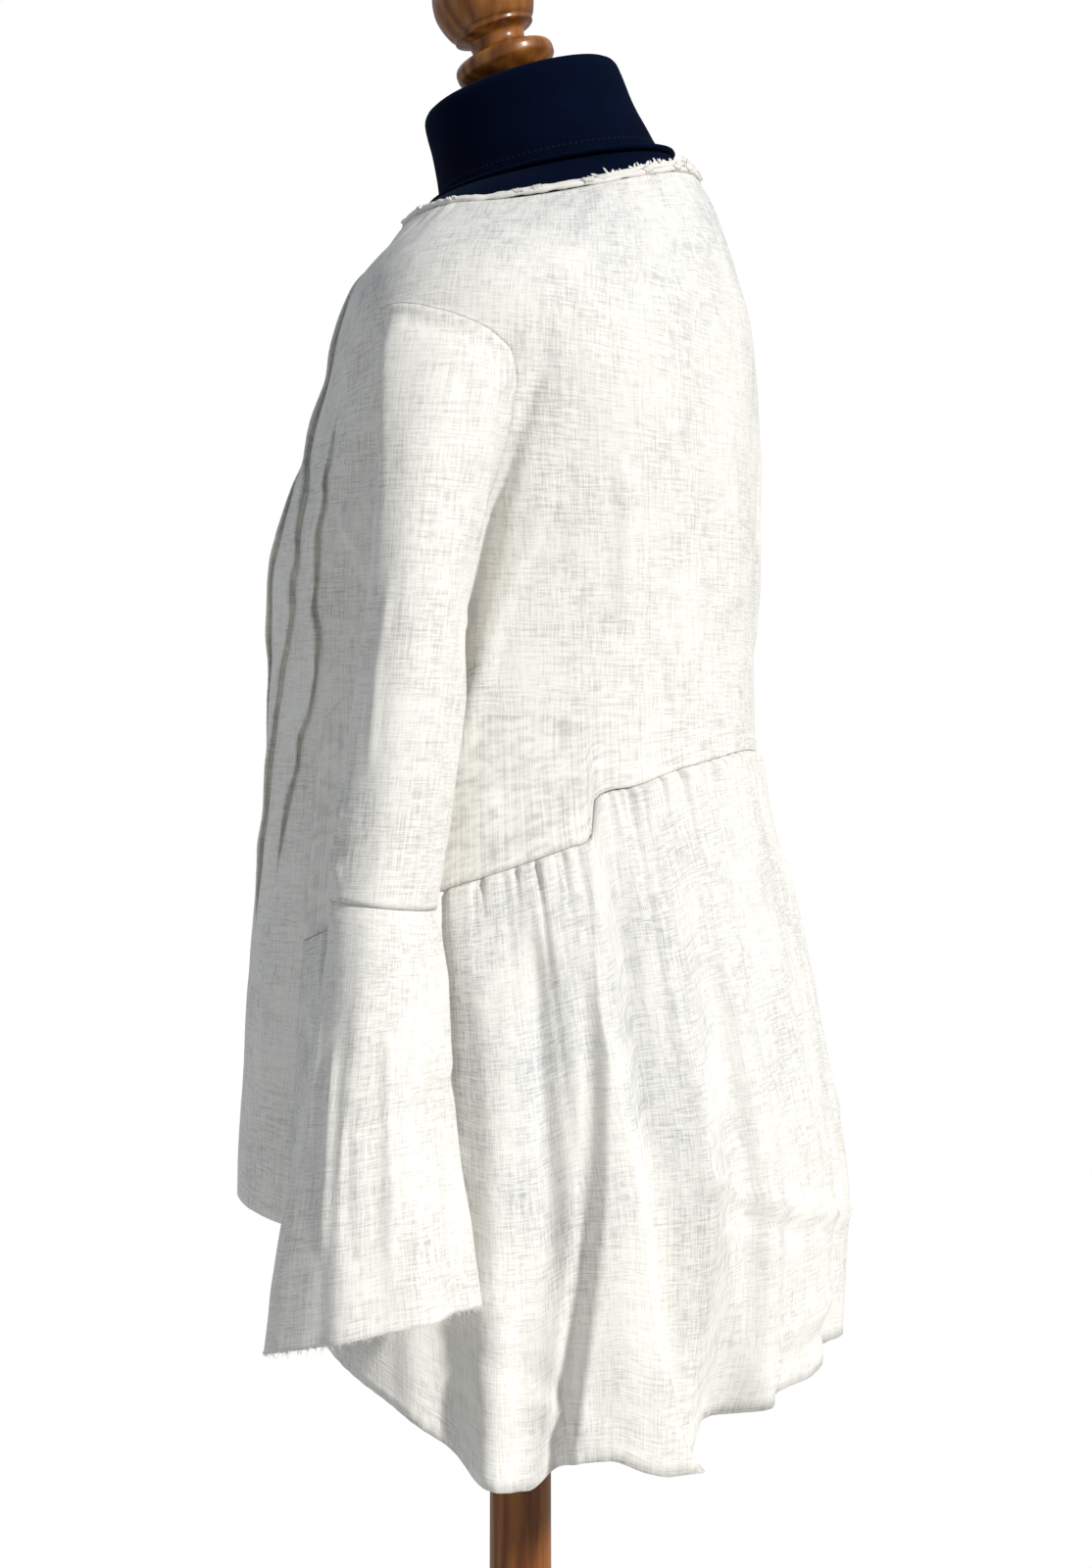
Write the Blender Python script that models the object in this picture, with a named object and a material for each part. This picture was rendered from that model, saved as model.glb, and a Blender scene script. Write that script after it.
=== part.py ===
import math

import bmesh
import bpy
from mathutils import Vector
from mathutils.bvhtree import BVHTree

for old in list(bpy.data.objects):
    bpy.data.objects.remove(old, do_unlink=True)

MM = 0.001
CLOTH = 1.4 * MM      # wall of every cloth piece
SEAM = 0.45 * MM      # space left between two cloth pieces that are sewn together
CLEAR = 1.3 * MM      # least space between the cloth and the form
NECK_Y, NECK_Z, NECK_TILT = 19.5 * MM, 1.4405, math.radians(12.0)


def material(name, rgb, rough):
    m = bpy.data.materials.new(name)
    m.use_nodes = True
    b = m.node_tree.nodes["Principled BSDF"]
    b.inputs["Base Color"].default_value = (*rgb, 1)
    b.inputs["Roughness"].default_value = rough
    return m


LINEN = (0.80, 0.77, 0.70)
NAVY = (0.012, 0.016, 0.030)
WOOD = (0.30, 0.13, 0.045)


def solid(name, points, triangles, rgb, rough):
    mesh = bpy.data.meshes.new(name)
    mesh.from_pydata([tuple(p) for p in points], [], triangles)
    o = bpy.data.objects.new(name, mesh)
    bpy.context.collection.objects.link(o)
    bm = bmesh.new()
    bm.from_mesh(mesh)
    if bm.calc_volume(signed=True) < 0:
        bmesh.ops.reverse_faces(bm, faces=bm.faces)
    bm.to_mesh(mesh)
    bm.free()
    mesh.materials.append(material(name, rgb, rough))
    return o


def smooth(table, key, column):
    """A smooth curve through one column of a table whose first column is the key."""
    rows = sorted(table)
    if key <= rows[0][0]:
        return rows[0][column]
    if key >= rows[-1][0]:
        return rows[-1][column]
    i = max(j for j in range(len(rows) - 1) if rows[j][0] <= key)
    (k0, v0), (k1, v1) = (rows[i][0], rows[i][column]), (rows[i + 1][0], rows[i + 1][column])
    before, after = rows[max(i - 1, 0)], rows[min(i + 2, len(rows) - 1)]
    slope = (v1 - v0) / (k1 - k0)
    in0 = (v1 - before[column]) / (k1 - before[0])
    in1 = (after[column] - v0) / (after[0] - k0)
    m0, m1 = [0 if m * slope <= 0 else math.copysign(min(abs(m), 3 * abs(slope)), m) for m in (in0, in1)]
    t = (key - k0) / (k1 - k0)
    h = k1 - k0
    return (
        (2 * t**3 - 3 * t**2 + 1) * v0 + (t**3 - 2 * t**2 + t) * h * m0
        + (3 * t**2 - 2 * t**3) * v1 + (t**3 - t**2) * h * m1
    )


def loft(name, rings, rgb, rough):
    """A solid through rings of points that run from the top down, closed with a fan at each end."""
    n = len(rings[0])
    points = [p for ring in rings for p in ring]
    tris = []
    for r in range(len(rings) - 1):
        for c in range(n):
            a, b = r * n + c, r * n + (c + 1) % n
            tris += [(a, a + n, b + n), (a, b + n, b)]
    for ring, first, flip in ((rings[0], 0, True), (rings[-1], (len(rings) - 1) * n, False)):
        points.append(sum(ring, Vector()) / n)
        hub = len(points) - 1
        for c in range(n):
            a, b = first + c, first + (c + 1) % n
            tris.append((a, b, hub) if flip else (b, a, hub))
    return solid(name, points, tris, rgb, rough)


def lathe(name, profile, foot, axis, sides, rgb, rough):
    """Turned wood: radius and height pairs from the top down, about an axis from the foot."""
    axis = axis.normalized()
    across = Vector((1, 0, 0))
    along = axis.cross(across).normalized()
    rings = []
    for radius, height in profile:
        turn = [2 * math.pi * i / sides for i in range(sides)]
        rings.append([
            foot + axis * height * MM + (across * math.cos(a) + along * math.sin(a)) * radius * MM for a in turn
        ])
    return loft(name, rings, rgb, rough)


# The stand: a turned foot, its post, and the finial on the tilted neck.
lathe("stand_base", [(24, 44), (27, 43), (30, 36), (60, 31), (130, 26), (168, 20), (179, 13), (180, 6), (176, 0)],
      Vector((0, 0, 0)), Vector((0, 0, 1)), 28, WOOD, 0.35)
lathe("stand_post", [(19, 829.2), (19, 640), (19.8, 420), (21, 220), (22.5, 90), (24, 70), (22, 56), (23, 44.4)],
      Vector((0, 0, 0)), Vector((0, 0, 1)), 24, WOOD, 0.35)

# Torso sections from the bottom up: height in m, half width, front depth and back depth in mm.
TORSO = [
    (0.830, 150, 90, 112), (0.836, 164, 102, 125), (0.848, 169, 107, 130), (0.880, 172, 112, 138),
    (0.940, 166, 110, 132), (1.000, 148, 102, 115), (1.060, 128, 96, 100), (1.120, 136, 108, 104),
    (1.180, 150, 126, 114), (1.225, 157, 135, 121), (1.275, 162, 120, 127), (1.320, 167, 104, 129),
    (1.340, 169, 97, 129), (1.362, 164, 88, 126), (1.381, 150, 81, 122), (1.3973, 127, 74, 118),
    (1.4113, 103, 67, 112), (1.425, 82, 60, 104), (1.4375, 68, 58.5, 96),
]
TORSO_SIDES = 32


def torso_ring(row):
    z, wide, front, back = row
    lean = max(0.0, min(1.0, (z - 1.30) / (TORSO[-1][0] - 1.30))) * math.tan(NECK_TILT)
    ring = []
    for i in range(TORSO_SIDES):
        a = 2 * math.pi * i / TORSO_SIDES
        y = -(front if math.cos(a) > 0 else back) * math.cos(a) * MM
        ring.append(Vector((wide * math.sin(a) * MM, y, z + lean * (y - NECK_Y))))
    return ring


form = [loft("form_torso", [torso_ring(r) for r in reversed(TORSO)], NAVY, 0.9)]


def neck_rings(rows, sides=28):
    """Rows: distance up from the neck base, forward shift, half width, half depth in mm, and tilt in degrees."""
    rings = []
    for up, shift, wide, deep, tilt in rows:
        tilt = math.radians(tilt)
        ring = []
        for i in range(sides):
            a = 2 * math.pi * i / sides
            d = -deep * math.cos(a)
            ring.append(Vector((
                wide * math.sin(a) * MM,
                NECK_Y + (d * math.cos(tilt) - shift) * MM,
                NECK_Z + (up + d * math.sin(tilt)) * MM,
            )))
        rings.append(ring)
    return rings


form.append(loft("form_neck_seam", neck_rings([
    (2.0, 0, 64, 76.5, 12), (1.2, 0, 66.5, 79, 12), (-1.2, 0, 66.5, 79, 12), (-2.0, 0, 64, 76.5, 12),
]), NAVY, 0.9))
form.append(loft("form_neck", neck_rings([
    (61.5, 20.5, 38, 47, 16), (60.3, 20, 47.5, 56.5, 16), (57, 19.5, 52.5, 61.5, 16), (51, 18, 54.5, 63.5, 15.4),
    (32, 11.5, 55.5, 65, 13.8), (15, 5, 57.5, 68, 12.6), (2.4, 0, 60, 71, 12),
]), NAVY, 0.9))

finial_foot = Vector((0, -4.5 * MM, 1.5012))
finial_axis = Vector((0, -math.sin(math.radians(20)), math.cos(math.radians(20))))
lathe("finial", [
    (4, 86), (14, 84.4), (23, 79), (29.5, 70), (31.8, 58), (29, 44), (22, 34.5), (17.4, 28.5), (19.5, 23.5),
    (28, 21.2), (31.6, 17), (31.2, 12.5), (26, 7.4), (18, 6), (18, 1.8),
], finial_foot, finial_axis, 22, WOOD, 0.3)

bm = bmesh.new()
for piece in form:
    bm.from_mesh(piece.data)
body = BVHTree.FromBMesh(bm)
bm.free()


def off_form(p, least=CLOTH + CLEAR):
    """Lifts a point of the cloth's face that would lie too near the form."""
    near, normal, _, gap = body.find_nearest(p)
    if (p - near).dot(normal) < 0:
        return near + normal * least
    if gap < least:
        return near + (p - near).normalized() * least
    return p


# Levels of the cloth: number, height at the front, side and back in m, reach to the front, side and back in mm.
LEVELS = [
    (0, 1.408, 1.413, 1.4405, 68, 106, 111), (1, 1.388, 1.401, 1.418, 80, 128, 122),
    (2, 1.365, 1.386, 1.387, 97, 152, 132), (3, 1.335, 1.366, 1.350, 104, 177, 141),
    (4, 1.300, 1.322, 1.305, 110, 190, 145), (5, 1.240, 1.240, 1.240, 138, 179, 146),
    (6, 1.190, 1.190, 1.190, 152, 171, 145), (7, 1.140, 1.140, 1.140, 153, 167, 144),
    (8, 1.060, 1.060, 1.060, 158, 167, 147), (9, 0.980, 0.980, 0.980, 165, 174, 168),
    (10, 0.900, 0.900, 0.900, 170, 183, 187), (11, 0.820, 0.820, 0.820, 173, 193, 200),
    (12, 0.740, 0.740, 0.740, 173, 198, 195), (13, 0.650, 0.650, 0.650, 173, 199, 183),
]


def height(phi, level):
    c = math.cos(math.radians(phi))
    s = abs(math.sin(math.radians(phi))) ** (4 if c > 0 else 2)
    return smooth(LEVELS, level, 2) * s + smooth(LEVELS, level, 1 if c > 0 else 3) * (1 - s)


def at_level(phi, level):
    a = math.radians(phi)
    reach = smooth(LEVELS, level, 4 if math.cos(a) > 0 else 6)
    return Vector((
        smooth(LEVELS, level, 5) * math.sin(a) * MM, -reach * math.cos(a) * MM, height(phi, level),
    ))


def level_at(phi, z):
    low, high = 0.0, 13.0
    for _ in range(22):
        mid = (low + high) / 2
        low, high = (mid, high) if height(phi, mid) > z else (low, mid)
    return (low + high) / 2


def normals(grid, ring):
    """The outward direction at each point of a grid whose rows run down and columns run about the body."""
    rows, cols = len(grid), len(grid[0])
    out = []
    for r in range(rows):
        line = []
        for c in range(cols):
            down = grid[min(r + 1, rows - 1)][c] - grid[max(r - 1, 0)][c]
            if ring:
                side = grid[r][(c + 1) % cols] - grid[r][c - 1]
            else:
                side = grid[r][min(c + 1, cols - 1)] - grid[r][max(c - 1, 0)]
            line.append(down.cross(side).normalized())
        out.append(line)
    return out


def facing(phi, level):
    """The outward direction of the cloth's own surface, which two pieces share along a seam."""
    step = 0.08
    low, high = min(level + step, 13), max(level - step, 0)
    down = at_level(phi, low) - at_level(phi, high)
    return down.cross(at_level(phi + 1.5, level) - at_level(phi - 1.5, level)).normalized()


def cloth(name, grid, ring=False, relief=None, out=None, wall=CLOTH):
    """A closed sheet on a grid of face points. relief moves the face and the back together."""
    rows, cols = len(grid), len(grid[0])
    out = out or normals(grid, ring)
    lift = relief or [[0.0] * cols for _ in grid]
    face = [grid[r][c] + out[r][c] * lift[r][c] for r in range(rows) for c in range(cols)]
    back = [grid[r][c] + out[r][c] * (lift[r][c] - wall) for r in range(rows) for c in range(cols)]
    n = rows * cols
    tris = []
    for r in range(rows - 1):
        for c in range(cols if ring else cols - 1):
            a, b = r * cols + c, r * cols + (c + 1) % cols
            d, e = a + cols, b + cols
            if (face[a] - face[e]).length < (face[b] - face[d]).length:
                pair = [(a, d, e), (a, e, b)]
            else:
                pair = [(a, d, b), (b, d, e)]
            tris += pair + [(k + n, j + n, i + n) for i, j, k in pair]
    edge = []
    if ring:
        edge += [(c, (c + 1) % cols) for c in range(cols)]
        low = (rows - 1) * cols
        edge += [(low + (c + 1) % cols, low + c) for c in range(cols)]
    else:
        edge += [(c, c + 1) for c in range(cols - 1)]
        edge += [(r * cols + cols - 1, (r + 1) * cols + cols - 1) for r in range(rows - 1)]
        edge += [((rows - 1) * cols + c + 1, (rows - 1) * cols + c) for c in range(cols - 1)]
        edge += [((r + 1) * cols, r * cols) for r in range(rows - 1)]
    for a, b in edge:
        tris += [(a, b, b + n), (a, b + n, a + n)]
    return solid(name, face + back, tris, LINEN, 0.85)


# Edges of the cut pieces: level, edge of the front and edge of the back as an angle from the front in degrees.
# Between levels 3.5 and 7 the two edges part round the armhole.
EDGES = [
    (0, 31, 31), (1, 45, 45), (2, 56, 56), (3, 65, 65), (3.5, 70, 70), (3.62, 71.5, 82), (3.74, 73, 93),
    (3.87, 74, 104), (4.02, 75, 113), (4.6, 78, 107), (5.2, 79.5, 101), (6.0, 80, 96), (6.5, 80.5, 93.5),
    (6.85, 81.5, 90), (7.06, 84.5, 84.5), (7.14, 79, 79), (7.22, 72, 72), (7.32, 64, 64), (7.45, 59, 59),
    (7.9, 56, 56), (13, 56, 56),
]
SKIRT_TOP = [(56, 0.975), (118, 1.031), (180, 1.088)]   # angle, height of the gathered seam in m
FRONT_HEM = [(0, 0.817), (30, 0.8145), (56, 0.808)]
SKIRT_HEM = [   # angle, height of the hem in m
    (56, 0.785), (67, 0.744), (82, 0.714), (93, 0.690), (100, 0.670), (108, 0.666), (117, 0.684), (126, 0.669),
    (133, 0.674), (139, 0.688), (147, 0.695), (160, 0.705), (177, 0.724), (190, 0.727), (205, 0.712), (222, 0.690),
    (236, 0.672), (246, 0.684), (256, 0.668), (268, 0.690), (280, 0.714), (293, 0.744), (304, 0.785),
]


def edge(level, side):
    rows = EDGES
    for a, b in zip(rows, rows[1:]):
        if a[0] <= level <= b[0]:
            return a[side] + (b[side] - a[side]) * (level - a[0]) / (b[0] - a[0])
    return rows[-1][side]


def seam_z(phi):
    return smooth(SKIRT_TOP, min(phi, 360 - phi), 1)


# Released tucks of the front: height, then the angles of tucks C, A and B, and how far each stands proud in mm.
TUCKS = [
    (1.418, 10, 17, 24, 0, 0, 0), (1.390, 14, 24, 38, 0, 1.5, 0), (1.372, 16, 26, 46, 0, 3.2, 0),
    (1.330, 17, 28, 50, 0, 3.4, 0), (1.290, 20, 34, 54, 0, 3.4, 0), (1.262, 27, 40, 55, 0, 3.4, 1.5),
    (1.238, 29, 45, 56, 2.4, 3.4, 3.0), (1.205, 27, 46, 55.5, 3.0, 3.4, 3.2), (1.157, 24, 44, 56, 3.0, 3.4, 3.2),
    (1.128, 22, 38, 55, 1.5, 3.2, 2.6), (1.085, 21, 33, 50, 0, 3.2, 3.0), (1.040, 20, 30, 44, 0, 3.0, 2.4),
    (1.005, 20, 29, 42, 0, 2.0, 0), (0.970, 20, 29, 42, 0, 0, 0), (0.800, 20, 29, 42, 0, 0, 0),
]
FRONT_LEVELS = [0, 0.7, 1.4, 2.1, 2.8, 3.5, 4.3, 5.2, 6.0, 6.5, 6.85, 7.06, 7.14, 7.22, 7.32, 7.45, 7.9, 8.7, 9.5, 10.3]


def front_row(level):
    """Angles and lifts of one row of the front, from the wearer's right edge to the left one."""
    gap = math.degrees(SEAM / 2 / (0.09 + 0.012 * min(level, 7)))
    last = edge(level, 1) - gap
    z = height(45, level)
    lines = [(smooth(TUCKS, z, 1 + k), smooth(TUCKS, z, 4 + k)) for k in range(3)]
    half = [(lines[0][0] * f, 0.0) for f in (0.0, 0.28, 0.54)]
    for k, (angle, proud) in enumerate(lines):
        before = half[-1][0]
        after = lines[k + 1][0] if k < 2 else last
        near = math.degrees(0.012 / 0.15)
        half.append((angle - min(near, 0.55 * (angle - before)), 0.12 * proud))
        half.append((angle, proud))
        foot = angle + min(math.degrees(0.0042 / 0.15), 0.3 * (after - angle))
        half.append((foot, 0.0))
    half += [((half[-1][0] + last) / 2, 0.0), (last, 0.0)]
    return [(-a, p) for a, p in reversed(half[1:])] + half


grid, relief, out = [], [], []
for level in FRONT_LEVELS + [None]:
    row = front_row(level if level is not None else 11)
    at = [(a, level_at(abs(a), smooth(FRONT_HEM, abs(a), 1)) if level is None else level) for a, _ in row]
    grid.append([off_form(at_level(*place)) for place in at])
    out.append([facing(*place) for place in at])
    relief.append([p * MM for _, p in row])
cloth("blouse_front", grid, relief=relief, out=out)

# The back reaches from the forward shoulder seams round to the same side seams, and ends at the gathered seam.
BACK_LEVELS = [
    0, 0.7, 1.4, 2.1, 2.8, 3.5, 3.62, 3.74, 3.87, 4.02, 4.6, 5.2, 6.0, 6.5, 6.85, 7.06, 7.14, 7.22, 7.32, 7.45,
]
BACK_COLS = 28
grid, out = [], []
for level in BACK_LEVELS + [0.28, 0.64, 1.0]:
    below = level in (0.28, 0.64, 1.0)
    gap = math.degrees(SEAM / 2 / (0.09 + 0.012 * (7 if below else min(level, 7))))
    if below:
        join = height(57, 7.45) + (seam_z(57) - height(57, 7.45)) * level
        first = edge(level_at(57, join), 2) + gap
    else:
        first = edge(level, 2) + gap
    at = []
    for c in range(BACK_COLS + 1):
        phi = first + (360 - 2 * first) * c / BACK_COLS
        top = height(phi, 7.45)
        at.append((phi, level_at(phi, top + (seam_z(phi) - top) * level) if below else level))
    grid.append([off_form(at_level(*place)) for place in at])
    out.append([facing(*place) for place in at])
cloth("blouse_back", grid, out=out)

# The gathered back skirt. Flutes: angle at the seam, angle at the hem, degrees to each side, depth in mm.
GATHERS = 72
FLUTES = [
    (88, 96, 9, 8, -8), (100, 107.5, 8, 7, 13), (112, 116, 4, 4, -5), (120, 125.5, 7, 6.5, 19),
    (134, 141, 10, 13, -15), (156, 160, 10, 10, 5), (176, 176, 9, 9, -6), (192, 192, 10, 10, 6),
    (212, 209, 9, 10, -7), (226, 222, 9, 8, 12), (238, 234, 8, 8, -10), (247, 243, 7, 7, 16),
    (259, 255, 6, 6, -6), (270, 264, 7, 8, 10), (284, 276, 8, 8, -7),
]
DROPS = [0.0, 0.014, 0.045, 0.10, 0.20, 0.32, 0.46, 0.62, 0.80, 1.0]


def flute(phi, drop):
    total = 0.0
    for top, low, left, right, deep in FLUTES:
        centre = top + (low - top) * drop
        x = (phi - centre) / (left if phi < centre else right)
        if abs(x) < 1:
            total += deep * 0.5 * (1 + math.cos(math.pi * x))
    return total * drop ** 0.85 * MM


grid, relief = [], []
for drop in DROPS:
    row, lifts = [], []
    for c in range(2 * GATHERS + 1):
        start = 56.1 + 247.8 * c / (2 * GATHERS)
        near = min(start, 360 - start)
        drift = smooth([(56, 0), (88, 6), (125, 8), (150, 3), (180, 0)], near, 1)
        phi = start + math.copysign(drift, 180 - start) * drop
        z0, z1 = seam_z(start) - SEAM, smooth(SKIRT_HEM, phi, 1)
        z = z0 + (z1 - z0) * drop
        p = at_level(phi, level_at(phi, z))
        out = Vector((math.sin(math.radians(phi)), -math.cos(math.radians(phi)), 0))
        fade = min(1.0, (c / 3), (2 * GATHERS - c) / 3)
        p += out * (flute(phi, drop) * fade + 4 * MM * fade * math.sin(math.pi * min(1, drop * 5)))
        row.append(p)
        ruck = 0.75 * MM if drop == 0 else 1.25 * MM * max(0.0, 1 - drop / 0.5)
        lifts.append(ruck * (1 if c % 2 else -1) * min(1.0, fade))
    grid.append(row)
    relief.append(lifts)
cloth("blouse_skirt", grid, relief=relief)

# Neckline trim: a narrow band that stands on the cut edge.
grid = []
for rise in (6.7, 0.75):
    row = []
    for i in range(44):
        phi = 360 * i / 44
        low, high = at_level(phi, 0.25), at_level(phi, 0)
        row.append(off_form(high + (high - low).normalized() * rise * MM, CLOTH + 3.4 * MM))
    grid.append(row)
cloth("neck_trim", grid, ring=True)

# Left sleeve sections from the armhole to the elbow: inner x, inner z, outer x, outer z, middle y, half depth y.
SLEEVE = [
    (0.00, 169, 1.139, 192, 1.333, 10, 44), (0.10, 174.5, 1.136, 211, 1.316, 9, 37),
    (0.22, 176, 1.129, 229, 1.286, 6, 31), (0.36, 176, 1.116, 245, 1.238, 3, 26),
    (0.52, 176, 1.097, 255, 1.175, 0, 25.5), (0.68, 176, 1.068, 260, 1.110, -6, 27),
    (0.84, 177, 1.035, 263, 1.052, -12, 28.5), (1.00, 178, 1.000, 268, 1.000, -17, 26.8),
]
FLOUNCE = [   # height, inner x, outer x, middle y, half depth, flute in mm, how much lower the front is in mm
    (0.99955, 178, 268, -17, 26.8, 0, 0), (0.982, 179, 272, -15, 28.0, 0.4, 1), (0.955, 182, 279, -13.5, 30.5, 1.2, 3),
    (0.915, 188, 291, -13.5, 34, 2.2, 5), (0.870, 194, 303, -14, 39, 3.2, 7), (0.820, 200, 315, -12.5, 47, 4.2, 9),
    (0.768, 207, 326, -10, 54, 5.2, 11),
]
AROUND = 26


def armhole(turn):
    """A point on the armhole's edge, by the turn about the sleeve: 0 top, 90 back, 180 underarm, 270 front."""
    path = [(lv, 2) for lv in (3.7, 3.87, 4.02, 4.3, 4.6, 5.2, 6.0, 6.5, 6.85)]
    path += [(7.06, 2)] + [(lv, 1) for lv in (6.85, 6.5, 6.0, 5.2, 4.6, 4.02, 3.74)] + [(3.5, 1), (3.62, 2), (3.7, 2)]
    points = [off_form(at_level(edge(lv, side), lv)) for lv, side in path]
    steps = [0.0]
    for a, b in zip(points, points[1:]):
        steps.append(steps[-1] + (b - a).length)
    low = steps[9]
    want = low * turn / 180 if turn <= 180 else low + (steps[-1] - low) * (turn - 180) / 180
    i = max(j for j in range(len(points) - 1) if steps[j] <= want + 1e-12)
    share = (want - steps[i]) / max(steps[i + 1] - steps[i], 1e-9)
    return points[i].lerp(points[i + 1], min(share, 1))


def sleeve_point(row, turn):
    _, xi, zi, xo, zo, mid, half = row
    a = math.radians(turn)
    inner, outer = Vector((xi * MM, 0, zi)), Vector((xo * MM, 0, zo))
    return (inner + outer) / 2 + (outer - inner) / 2 * math.cos(a) + Vector((0, (mid + half * math.sin(a)) * MM, 0))


def mirrored(grid):
    return [[Vector((-p.x, p.y, p.z)) for p in reversed(row)] for row in grid]


turns = [360 * i / AROUND for i in range(AROUND)]
grid = []
for row in SLEEVE:
    if row[0] == 0:
        rim = []
        for t in turns:
            p, nxt = armhole(t), sleeve_point(SLEEVE[1], t)
            rim.append(p + (nxt - p).normalized() * 0.7 * MM + Vector((0.9 * MM, 0, 0)))
        grid.append(rim)
    else:
        keep = max(0.0, 1 - row[0] / 0.45) * 0.8
        line = []
        for t in turns:
            p, hole = sleeve_point(row, t), armhole(t)
            shift = hole - sleeve_point(SLEEVE[0], t)
            line.append(p + Vector((0, shift.y, shift.z * 0.5)) * keep)
        grid.append(line)
cloth("sleeve_left", grid, ring=True)
cloth("sleeve_right", mirrored(grid), ring=True)

AROUND_CUFF = 32
grid = []
for z, xi, xo, mid, half, deep, dip in FLOUNCE:
    line = []
    for i in range(AROUND_CUFF):
        t = 360 * i / AROUND_CUFF
        a = math.radians(t)
        wave = deep * (0.75 * math.cos(math.radians(6 * t + 40)) + 0.35 * math.cos(math.radians(4 * t - 70)))
        r = Vector(((xo - xi) / 2 * math.cos(a), half * math.sin(a), 0))
        r += r.normalized() * wave * (0.35 if math.cos(a) < -0.5 else 1.0)
        line.append(Vector((((xi + xo) / 2 + r.x) * MM, (mid + r.y) * MM, z + dip * math.sin(a) * MM)))
    grid.append(line)
cloth("flounce_left", grid, ring=True)
cloth("flounce_right", mirrored(grid), ring=True)
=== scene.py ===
import random
from math import atan2, ceil, copysign, cos, degrees, exp, hypot, pi, radians, sin, tan

import bmesh
import bpy
from mathutils import Matrix, Vector, noise
from mathutils.bvhtree import BVHTree


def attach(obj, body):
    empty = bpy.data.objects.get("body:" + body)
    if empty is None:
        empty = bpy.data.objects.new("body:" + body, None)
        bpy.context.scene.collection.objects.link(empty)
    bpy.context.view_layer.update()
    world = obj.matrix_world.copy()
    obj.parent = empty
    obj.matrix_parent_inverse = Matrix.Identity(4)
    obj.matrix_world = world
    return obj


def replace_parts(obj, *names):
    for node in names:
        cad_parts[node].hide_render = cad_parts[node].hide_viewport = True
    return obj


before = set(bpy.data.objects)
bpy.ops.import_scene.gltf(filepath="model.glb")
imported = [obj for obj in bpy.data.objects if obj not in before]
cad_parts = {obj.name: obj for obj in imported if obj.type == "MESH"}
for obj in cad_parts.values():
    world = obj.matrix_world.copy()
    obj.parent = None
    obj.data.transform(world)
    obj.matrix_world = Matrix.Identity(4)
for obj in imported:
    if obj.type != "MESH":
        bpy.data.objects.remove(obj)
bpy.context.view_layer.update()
MM = 0.001

# The view: level with the waist, from the wearer's left and a little behind, with a long lens.
# A high soft lamp behind the left shoulder leaves the front of the blouse in grey shade.
EYE_TURN, EYE_REACH, EYE_SHIFT, EYE_HEIGHT = radians(105), 2.2, 0.0159, 1.067
toward_eye = Vector((sin(EYE_TURN), -cos(EYE_TURN), 0))
eye_right = Vector((-toward_eye.y, toward_eye.x, 0))
camera = bpy.data.objects.new("camera", bpy.data.cameras.new("camera"))
bpy.context.collection.objects.link(camera)
camera.location = toward_eye * EYE_REACH + eye_right * EYE_SHIFT + Vector((0, 0, EYE_HEIGHT))
camera.rotation_euler = (radians(90), 0, EYE_TURN)
camera.data.sensor_width = 36
camera.data.lens = 81.15
bpy.context.scene.camera = camera
bpy.context.scene.view_settings.view_transform = "Standard"


def lamp(name, turn, rise, strength, colour, softness):
    """A distant soft lamp: turn is its angle from the wearer's front, rise its height in degrees."""
    light = bpy.data.lights.new(name, "SUN")
    light.energy = strength
    light.color = colour
    light.angle = radians(softness)
    o = bpy.data.objects.new(name, light)
    bpy.context.collection.objects.link(o)
    turn, rise = radians(turn), radians(rise)
    source = Vector((sin(turn) * cos(rise), -cos(turn) * cos(rise), sin(rise)))
    o.rotation_euler = source.to_track_quat("Z", "Y").to_euler()


lamp("key_lamp", 156, 31, 3.1, (1.0, 0.985, 0.955), 6)
lamp("fill_lamp", -20, 25, 0.22, (0.84, 0.92, 1.0), 40)


def node(tree, kind, inputs=(), **settings):
    """Adds a node. inputs maps a socket to a number, a colour or another node's output."""
    n = tree.nodes.new("ShaderNode" + kind)
    for key, value in settings.items():
        setattr(n, key, value)
    for socket, value in dict(inputs).items():
        if isinstance(value, bpy.types.NodeSocket):
            tree.links.new(value, n.inputs[socket])
        else:
            n.inputs[socket].default_value = value
    return n


world = bpy.data.worlds.new("studio")
bpy.context.scene.world = world
world.use_nodes = True
tree = world.node_tree
seen = tree.nodes["Background"]
seen.inputs["Color"].default_value = (1, 1, 1, 1)
lit = node(tree, "Background", {"Color": (0.9, 0.95, 1.0, 1), "Strength": 0.37})
by_camera = node(tree, "LightPath").outputs["Is Camera Ray"]
mix = node(tree, "MixShader", {0: by_camera, 1: lit.outputs[0], 2: seen.outputs[0]})
tree.links.new(mix.outputs[0], tree.nodes["World Output"].inputs["Surface"])

# The floor: a pale matt painted disc, flat and level, that ends below the photo's view.
# It only carries the stand and takes its shadow, and isn't a piece of the object.


def new_material(name, sockets):
    """A material with its shader's plain numbers set; returns it, its nodes and its shader."""
    m = bpy.data.materials.new(name)
    m.use_nodes = True
    shader = m.node_tree.nodes["Principled BSDF"]
    for socket, value in sockets.items():
        shader.inputs[socket].default_value = value
    return m, m.node_tree, shader


def ramp(tree, value, *stops):
    """A colour ramp through (place, colour) stops."""
    n = node(tree, "ValToRGB", {"Fac": value})
    points = n.color_ramp.elements
    while len(points) < len(stops):
        points.new(0.5)
    for point, (place, colour) in zip(points, stops):
        point.position = place
        point.color = (*colour, 1)
    return n.outputs["Color"]


def finish(tree, shader, colour, height, strength, distance):
    """Gives a shader its colour and a bump from a height."""
    bump = node(tree, "Bump", {"Height": height, "Strength": strength, "Distance": distance})
    tree.links.new(bump.outputs[0], shader.inputs["Normal"])
    tree.links.new(colour, shader.inputs["Base Color"])


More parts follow.
